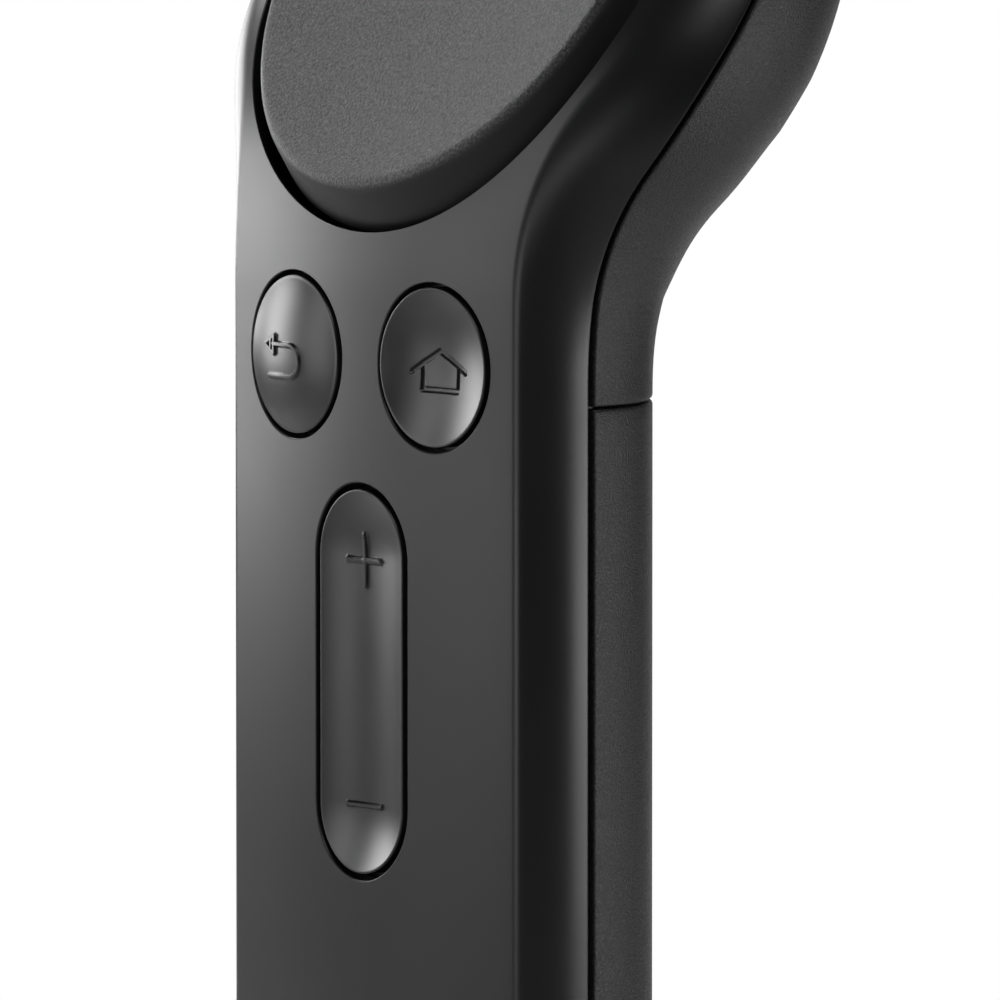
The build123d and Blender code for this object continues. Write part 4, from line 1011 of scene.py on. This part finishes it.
class CONTROLLER_OT_touchpad(bpy.types.Operator):
    """Round touch pad with a dished, grained top and a sloping rim"""

    bl_idname = "controller.touchpad"
    bl_label = "Touch pad"

    def execute(self, context):
        edge = PAD_EDGE - PAD_ROUND
        ball = (edge**2 + PAD_DISH**2) / (2 * PAD_DISH)
        r = np.linspace(0, edge, 60)
        depth = PAD_RECESS + PAD_DISH - ball + np.sqrt(ball**2 - r**2)
        t = np.linspace(0, 1, 10)[1:]
        low_r = PAD_EDGE + PAD_ROUND / PAD_SLOPE * (PAD_WAIST - PAD_EDGE)
        low_d = PAD_RECESS + PAD_ROUND
        rim_r, rim_d = bend(edge, PAD_EDGE - PAD_LEAN, low_r, t), bend(depth[-1], PAD_RECESS, low_d, t)
        wall_r = np.linspace(low_r, PAD_WAIST, 8)[1:]
        wall_d = np.linspace(low_d, PAD_RECESS + PAD_SLOPE, 8)[1:]
        tail_r = [PAD_WAIST, PAD_FLANGE, PAD_FLANGE, PAD_HOLLOW, PAD_HOLLOW, 0]
        tail_d = np.repeat([PAD_FLANGE_TOP, PAD_FLANGE_FOOT, PAD_CEILING], 2)
        r = np.concatenate([r, rim_r, wall_r, tail_r])
        points, faces = lathe(r, np.concatenate([depth, rim_d, wall_d, tail_d]), 256)
        made = piece("touchpad_top", head_point(*np.moveaxis(points, -1, 0)), faces)
        dress(made, "pad", "pad_plastic", finish("pad", context), "touchpad")
        return {"FINISHED"}


class CONTROLLER_OT_round_buttons(bpy.types.Operator):
    """Domed back button with a raised hook arrow and dished home button with an engraved house"""

    bl_idname = "controller.round_buttons"
    bl_label = "Round buttons"

    def execute(self, context):
        look = context.scene.controller_look
        hook = chain((-1.2, 0.6), (0.6, 0.6), *arc_points(0.6, -0.38, 0.98, 90, -90, 11), (-1.9, -1.36))
        hook += chain((-1.1, 1.1), (-2.3, 0.56), (-1.1, 0.02), (-1.1, 1.1)) + chain((-1.5, 0.8), (-1.5, 0.3))
        house = chain((-1.55, -1.4), (-1.55, 0.2), (-0.1, 0.95), (1.7, 0.1), (1.7, -1.4), (-1.55, -1.4))
        house += chain((-1.55, 0.2), (-2.45, -0.35)) + chain((1.7, 0.1), (2.45, -0.25))
        for side, dome, signs, rise, body, name in (
            (-1, BUTTON_DOME, hook, look.sign_height, "back_key", "back_button"),
            (1, -BUTTON_DOME, house, -look.sign_height, "home_key", "home_button"),
        ):
            made = piece(f"{name}_cap", *self.cap(look, side, dome, signs, rise))
            dress(made, body, "button_plastic", finish("button", context), name)
        return {"FINISHED"}

    def cap(self, look, side, dome, signs, rise):
        """Cap turned about the button's axis: a dome or dish of a circle, an eased edge, the side,
        the flange and the hollow underside; the sign's lines rise from the top or sink into it."""
        edge = BUTTON_RADIUS - CAP_EASE
        ball = (edge**2 + dome**2) / (2 * abs(dome))
        r = np.concatenate([np.linspace(0, CAP_SIGN, 60), np.linspace(CAP_SIGN, edge, 14)[1:]])
        top = dome - math.copysign(1, dome) * (ball - np.sqrt(ball**2 - r**2))
        t = np.linspace(0, 1, 8)[1:]
        tail = [BUTTON_RADIUS, CAP_FLANGE, CAP_FLANGE, CAP_HOLLOW, CAP_HOLLOW, CAP_STEM, CAP_STEM, 0]
        r = np.concatenate([r, bend(edge, BUTTON_RADIUS, BUTTON_RADIUS, t), tail])
        drop = np.repeat([CAP_SKIRT, CAP_FOOT, CAP_CEILING, CAP_STEM_FOOT], 2)
        points, faces = lathe(r, np.concatenate([top, bend(0, 0, -CAP_FALL, t), -drop]), 320)
        u, v, h = np.moveaxis(points, -1, 0)
        on_top = (np.arange(len(r)) <= len(top))[:, None]
        raised = rise * stroke_depth(u, v, signs, look.sign_width) * on_top
        return on_button(side, u, v, h + raised), faces


class CONTROLLER_OT_volume_rocker(bpy.types.Operator):
    """Pill-shaped volume rocker with a dished top and a raised plus and minus"""

    bl_idname = "controller.volume_rocker"
    bl_label = "Volume rocker"

    def execute(self, context):
        made = piece("volume_rocker_cap", *self.cap(context.scene.controller_look))
        dress(made, "volume_key", "button_plastic", finish("button", context), "volume_rocker")
        feet = piece("rocker_feet", *joined(self.peg(-1), self.peg(1), self.rib()))
        dress(feet, "volume_key", "button_plastic", finish("button", context))
        return {"FINISHED"}

    def cap(self, look):
        """Cap of pill-shaped rings: a dish of a circle's depth that follows the crown, an eased
        edge, the side, the flange and the hollow underside; the signs' lines rise from the top."""
        half = ROCKER_WIDTH / 2
        ux, uz, centre = pill_loop((ROCKER_LENGTH - ROCKER_WIDTH) / 2, 60, 110)
        edge = half - CAP_EASE
        t = np.linspace(0, 1, 8)[1:]
        top = np.linspace(0, edge, 56)
        tail = [half, ROCKER_FLANGE, ROCKER_FLANGE, ROCKER_HOLLOW, ROCKER_HOLLOW, 0]
        out = np.concatenate([top, bend(edge, half, half, t), tail])[:, None]
        x, v = out * ux, centre + out * uz
        ball = (edge**2 + ROCKER_DISH**2) / (2 * ROCKER_DISH)
        dish = ROCKER_DISH - ball + np.sqrt(ball**2 - top**2)
        under = np.repeat([ROCKER_SKIRT, ROCKER_FOOT, ROCKER_CEILING], 2)
        drop = np.concatenate([dish, bend(0, 0, CAP_FALL, t), under])[:, None]
        row = np.arange(len(out))[:, None]
        drop = drop + crown(x) * (row <= len(top) + len(t))
        plus = chain((-1.85, 7.33), (1.45, 7.33)) + chain((-0.2, 5.75), (-0.2, 8.9))
        signs = plus + chain((-1.85, -7.54), (1.45, -7.54))
        raised = look.sign_height * stroke_depth(x, v, signs, look.sign_width) * (row < len(top))
        points = section_point(x, ROCKER_HEIGHT + v, drop - raised)
        return points, grid_faces(len(out), len(ux), wrap=True)

    def peg(self, side):
        """Round peg under one end, which presses that end's switch."""
        points, faces = lathe([0, PEG_RADIUS, PEG_RADIUS, 0], [PEG_TOP, PEG_TOP, PEG_FOOT, PEG_FOOT], 40)
        x, v, depth = np.moveaxis(points, -1, 0)
        return section_point(x, ROCKER_HEIGHT + side * PEG_SPREAD + v, depth), faces

    def rib(self):
        """Rib across the middle, on which the rocker tilts."""
        low = (-RIB_HALF, FACE_Y + PEG_TOP, ROCKER_HEIGHT - RIB_THICK / 2)
        return block(low, (RIB_HALF, FACE_Y + RIB_FOOT, ROCKER_HEIGHT + RIB_THICK / 2), RIB_EDGE)


class CONTROLLER_OT_trigger(bpy.types.Operator):
    """Finger trigger with eased edges, and its coil spring"""

    bl_idname = "controller.trigger"
    bl_label = "Trigger and spring"

    def execute(self, context):
        y, z = pivot()
        made = piece("trigger_lever", *self.lever(y, z))
        cut(made, rod(PIN_HOLE, -9, 9, (0, y, z), order=(2, 0, 1)))
        dress(made, "trigger_key", "button_plastic", finish("button", context), "trigger")
        start = (0, COIL_FOOT, z - COIL_DROP)
        spring = coil(start, "y", COIL_RADIUS, COIL_RADIUS, COIL_LENGTH, COIL_TURNS, SPRING_WIRE)
        made = piece("trigger_coil", *spring)
        dress(made, "body", "steel", finish("steel", context), "trigger_spring")
        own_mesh(made)
        return {"FINISHED"}

    def lever(self, y, z):
        """Lever: its outline repeated across the width; at either side the outline is moved in by
        the edge's size times one less the sine of an angle, x by that times one less the cosine."""
        loop = self.outline() * SWEEP
        along = np.roll(loop, -1, 0) - np.roll(loop, 1, 0)
        out = np.stack([along[:, 1], -along[:, 0]], -1) / np.linalg.norm(along, axis=1)[:, None]
        turn = np.linspace(0, math.pi / 2, 6)
        ease, inset = TRIGGER_EDGE * (1 - np.cos(turn)), TRIGGER_EDGE * (1 - np.sin(turn))
        flat = TRIGGER_HALF - 2 * TRIGGER_EDGE
        x = np.concatenate([ease - TRIGGER_HALF, np.linspace(-flat, flat, 12), TRIGGER_HALF - ease[::-1]])
        inset = np.concatenate([inset, np.zeros(12), inset[::-1]])
        ring = loop[None] - inset[:, None, None] * out[None]
        return capped(np.stack(np.broadcast_arrays(x[:, None], y + ring[..., 0], z + ring[..., 1]), -1))

    def outline(self):
        """Outline in shares of the sweep, seen from the right: eased corners between the named
        points, the arc about the pivot, the inner face and the boss round the pin."""
        def corner(a, b, c, count=7):
            t = np.linspace(0, 1, count)[:, None]
            return bend(np.array(a), np.array(b), np.array(c), t)

        back = LEVER_BACK / SWEEP
        low = -90 - math.degrees(math.asin(back))
        arc = np.radians(np.linspace(low, -52, 15))
        boss = np.radians(np.linspace(100, 180 + 35, 12))
        parts = [
            np.stack([np.cos(arc), np.sin(arc)], -1),
            corner((0.80, -0.727), (1.06, -0.80), (1.118, -0.772)),
            corner((1.118, -0.772), (1.16, -0.735), (1.095, -0.675)),
            corner((1.095, -0.675), (0.80, -0.46), (0.705, -0.2), 13),
            corner((0.705, -0.2), (0.66, 0.17), (0.50, 0.245), 11),
            corner((0.50, 0.245), (0.45, 0.272), (0.36, 0.272), 6),
            BOSS_RADIUS / SWEEP * np.stack([np.cos(boss), np.sin(boss)], -1),
            np.array([[-back, -0.2], [-back, -0.5], [-back, -0.8]]),
        ]
        loop = np.vstack(parts)
        keep = np.linalg.norm(loop - np.roll(loop, 1, 0), axis=1) > 1e-4
        return loop[keep]


class CONTROLLER_OT_cells(bpy.types.Operator):
    """Two cells with sleeves and bare ends, and the coil springs at one end of each"""

    bl_idname = "controller.cells"
    bl_label = "Cells and contact springs"

    def execute(self, context):
        y = FACE_Y + CELL_BEHIND
        for name, x, low, up in (
            ("left", -CELL_SPREAD, BAY_FOOT + SPRING_LENGTH, True),
            ("right", CELL_SPREAD, BAY_FOOT, False),
        ):
            r, h = self.profile()
            points, faces = lathe(r, h if up else CELL_LENGTH - h, 96)
            made = piece(f"{name}_cell", points.reshape(-1, 3) + (x, y, low), faces)
            dress(made, "body", "cell_wrap", finish(f"{name}_cell", context), f"cell_{name}")
        spring = "z", SPRING_BASE, SPRING_TIP, SPRING_LENGTH, SPRING_TURNS, SPRING_WIRE
        low_coil = coil((-CELL_SPREAD, y, BAY_FOOT), *spring)
        dress(piece("bottom_coil", *low_coil), "body", "nickel", finish("nickel", context), "bottom_spring")
        points, faces = coil((CELL_SPREAD, y, BAY_TOP), *spring)
        points = points * (1, 1, -1) + (0, 0, 2 * BAY_TOP)
        dress(piece("top_coil", points, faces), "body", "nickel", finish("nickel", context), "top_spring")
        return {"FINISHED"}

    def profile(self):
        """Radius and height of a cell's outline: eased foot and shoulder, a groove, and the tip."""
        t = np.linspace(0, math.pi / 2, 6)
        flat = CELL_RADIUS - CELL_EDGE
        groove = CELL_BODY - CELL_SINK
        shoulder_r, shoulder_h = flat + CELL_EDGE * np.cos(t), CELL_BODY - CELL_EDGE + CELL_EDGE * np.sin(t)
        tip_r = [CELL_GROOVE, CELL_GROOVE - CELL_EASE, CELL_TIP, CELL_TIP, CELL_TIP - CELL_EASE, 0]
        tip_h = [CELL_BODY, groove, groove, CELL_LENGTH - CELL_EASE, CELL_LENGTH, CELL_LENGTH]
        r = np.concatenate([[0], flat + CELL_EDGE * np.sin(t), shoulder_r, tip_r])
        return r, np.concatenate([[0], CELL_EDGE * (1 - np.cos(t)), shoulder_h, tip_h])


class CONTROLLER_OT_inner_pieces(bpy.types.Operator):
    """Finishes for the boards, frames, switches, screws and contacts inside"""

    bl_idname = "controller.inner_pieces"
    bl_label = "Inner pieces"

    def execute(self, context):
        finishes = {
            "frame_plastic": "frame", "lens_plastic": "lens", "board": "board", "flex": "flex",
            "steel": "steel", "nickel": "nickel", "cell_wrap": "nickel", "face_plastic": "face",
            "back_plastic": "back", "pad_plastic": "pad", "button_plastic": "button",
        }
        for entry in frame["record"]["subparts"]:
            node = frame["nodes"][entry["node"]]
            node.data.materials.clear()
            node.data.materials.append(finish(finishes[entry["material_slot"]], context))
        return {"FINISHED"}


class CONTROLLER_OT_stage(bpy.types.Operator):
    """Pale floor, white surroundings, soft lamps and the camera"""

    bl_idname = "controller.stage"
    bl_label = "Stage"

    def execute(self, context):
        scene = context.scene
        scene.view_settings.view_transform = "Standard"
        self.floor()
        self.world(scene)
        for lamp in LAMPS:
            self.lamp(*lamp)
        self.camera(scene)
        return {"FINISHED"}

    def floor(self):
        """Round floor: seen, it is mostly white, and all white further out, with the controller's
        shadow in the rest; mirrored, it is white behind the controller and lit elsewhere."""
        points, faces = lathe(FLOOR_RINGS, [-FLOOR_DROP] * len(FLOOR_RINGS), 96)
        floor = piece("floor", points, faces)
        shop = Finish("pale_floor")
        colour = shop.tint(shop.noise(6), (0.8, 0.8, 0.8), (0.82, 0.82, 0.82))
        matt = shop.node("ShaderNodeBsdfDiffuse", {}, {"Color": colour})
        glow = shop.node("ShaderNodeEmission", {}, {"Color": (1, 1, 1, 1), "Strength": 1.0})
        away = shop.node("ShaderNodeVectorMath", {"operation": "LENGTH"}, {0: shop.place}, "Value")
        back = shop.along(shop.place, BEHIND)
        seen, mirrored, passed = shop.light_path()
        share = seen * shop.ramp(away, *SEEN_SHARES, *SEEN_RANGE)
        share = share + (mirrored + passed) * shop.ramp(back, 0, 1, *MIRRORED_RANGE)
        mixed = shop.node("ShaderNodeMixShader", {}, {0: share, 1: matt, 2: glow})
        shop.node("ShaderNodeOutputMaterial", {}, {"Surface": mixed})
        floor.data.materials.append(shop.material)

    def world(self, scene):
        """White where it is seen, and where it is mirrored from behind the controller; dim elsewhere."""
        world = bpy.data.worlds.new("surroundings")
        world.use_nodes = True
        scene.world = world
        shop = Nodes(world.node_tree)
        direction = shop.node("ShaderNodeTexCoord", {}, {}, "Generated")
        facing = shop.along(direction, BEHIND)
        white = shop.node("ShaderNodeBackground", {}, {"Color": (1, 1, 1, 1), "Strength": 1.0})
        dim = shop.node("ShaderNodeBackground", {}, {"Color": (1, 1, 1, 1), "Strength": DIM_STRENGTH})
        seen, mirrored, passed = shop.light_path()
        share = seen + (mirrored + passed) * shop.ramp(facing, 0, 1, *WHITE_RANGE)
        share = share.math("MINIMUM", 1.0)
        mixed = shop.node("ShaderNodeMixShader", {}, {0: share, 1: dim, 2: white})
        shop.node("ShaderNodeOutputWorld", {}, {"Surface": mixed})

    def lamp(self, name, azimuth, height_above, width, height, power):
        """Soft rectangular lamp on a circle round the controller, at a height above the floor and
        turned to the aim; its azimuth runs from the face's side to the right."""
        a = math.radians(azimuth)
        place = Vector((math.sin(a) * LAMP_CIRCLE, -math.cos(a) * LAMP_CIRCLE, height_above))
        data = bpy.data.lights.new(name, "AREA")
        data.shape, data.size, data.size_y, data.energy = "RECTANGLE", width, height, power
        made = bpy.data.objects.new(name, data)
        made.visible_camera = False
        made.location = place
        made.rotation_euler = (Vector(LAMP_AIM) - place).to_track_quat("-Z", "Y").to_euler()
        bpy.context.scene.collection.objects.link(made)

    def camera(self, scene):
        """Camera at its distance from the target, whose lens shows the view's width there."""
        camera = bpy.data.objects.new("camera", bpy.data.cameras.new("camera"))
        scene.collection.objects.link(camera)
        toward = Vector(TOWARD_CAMERA).normalized()
        camera.location = Vector(CAMERA_TARGET) + toward * CAMERA_DISTANCE
        camera.rotation_euler = (-toward).to_track_quat("-Z", "Y").to_euler()
        camera.data.sensor_width = SENSOR_WIDTH
        camera.data.lens = SENSOR_WIDTH * CAMERA_DISTANCE / VIEW_WIDTH
        scene.camera = camera


OPERATORS = (
    CONTROLLER_OT_inner_pieces,
    CONTROLLER_OT_front_shell,
    CONTROLLER_OT_rear_shells,
    CONTROLLER_OT_touchpad,
    CONTROLLER_OT_round_buttons,
    CONTROLLER_OT_volume_rocker,
    CONTROLLER_OT_trigger,
    CONTROLLER_OT_cells,
    CONTROLLER_OT_stage,
)


class CONTROLLER_PT_panel(bpy.types.Panel):
    """Lists the controller's pieces and its settings"""

    bl_label = "Motion controller"
    bl_idname = "CONTROLLER_PT_panel"
    bl_space_type = "VIEW_3D"
    bl_region_type = "UI"
    bl_category = "Controller"

    def draw(self, context):
        look = context.scene.controller_look
        for name in look.__annotations__:
            self.layout.prop(look, name)
        for operator in OPERATORS:
            self.layout.operator(operator.bl_idname)


CLASSES = (CONTROLLER_PG_look, *OPERATORS, CONTROLLER_PT_panel)


def register():
    for entry in CLASSES:
        bpy.utils.register_class(entry)
    bpy.types.Scene.controller_look = bpy.props.PointerProperty(type=CONTROLLER_PG_look)


def unregister():
    del bpy.types.Scene.controller_look
    for entry in reversed(CLASSES):
        bpy.utils.unregister_class(entry)


def main():
    register()
    for operator in OPERATORS:
        group, name = operator.bl_idname.split(".")
        getattr(getattr(bpy.ops, group), name)()


if __name__ == "__main__":
    main()
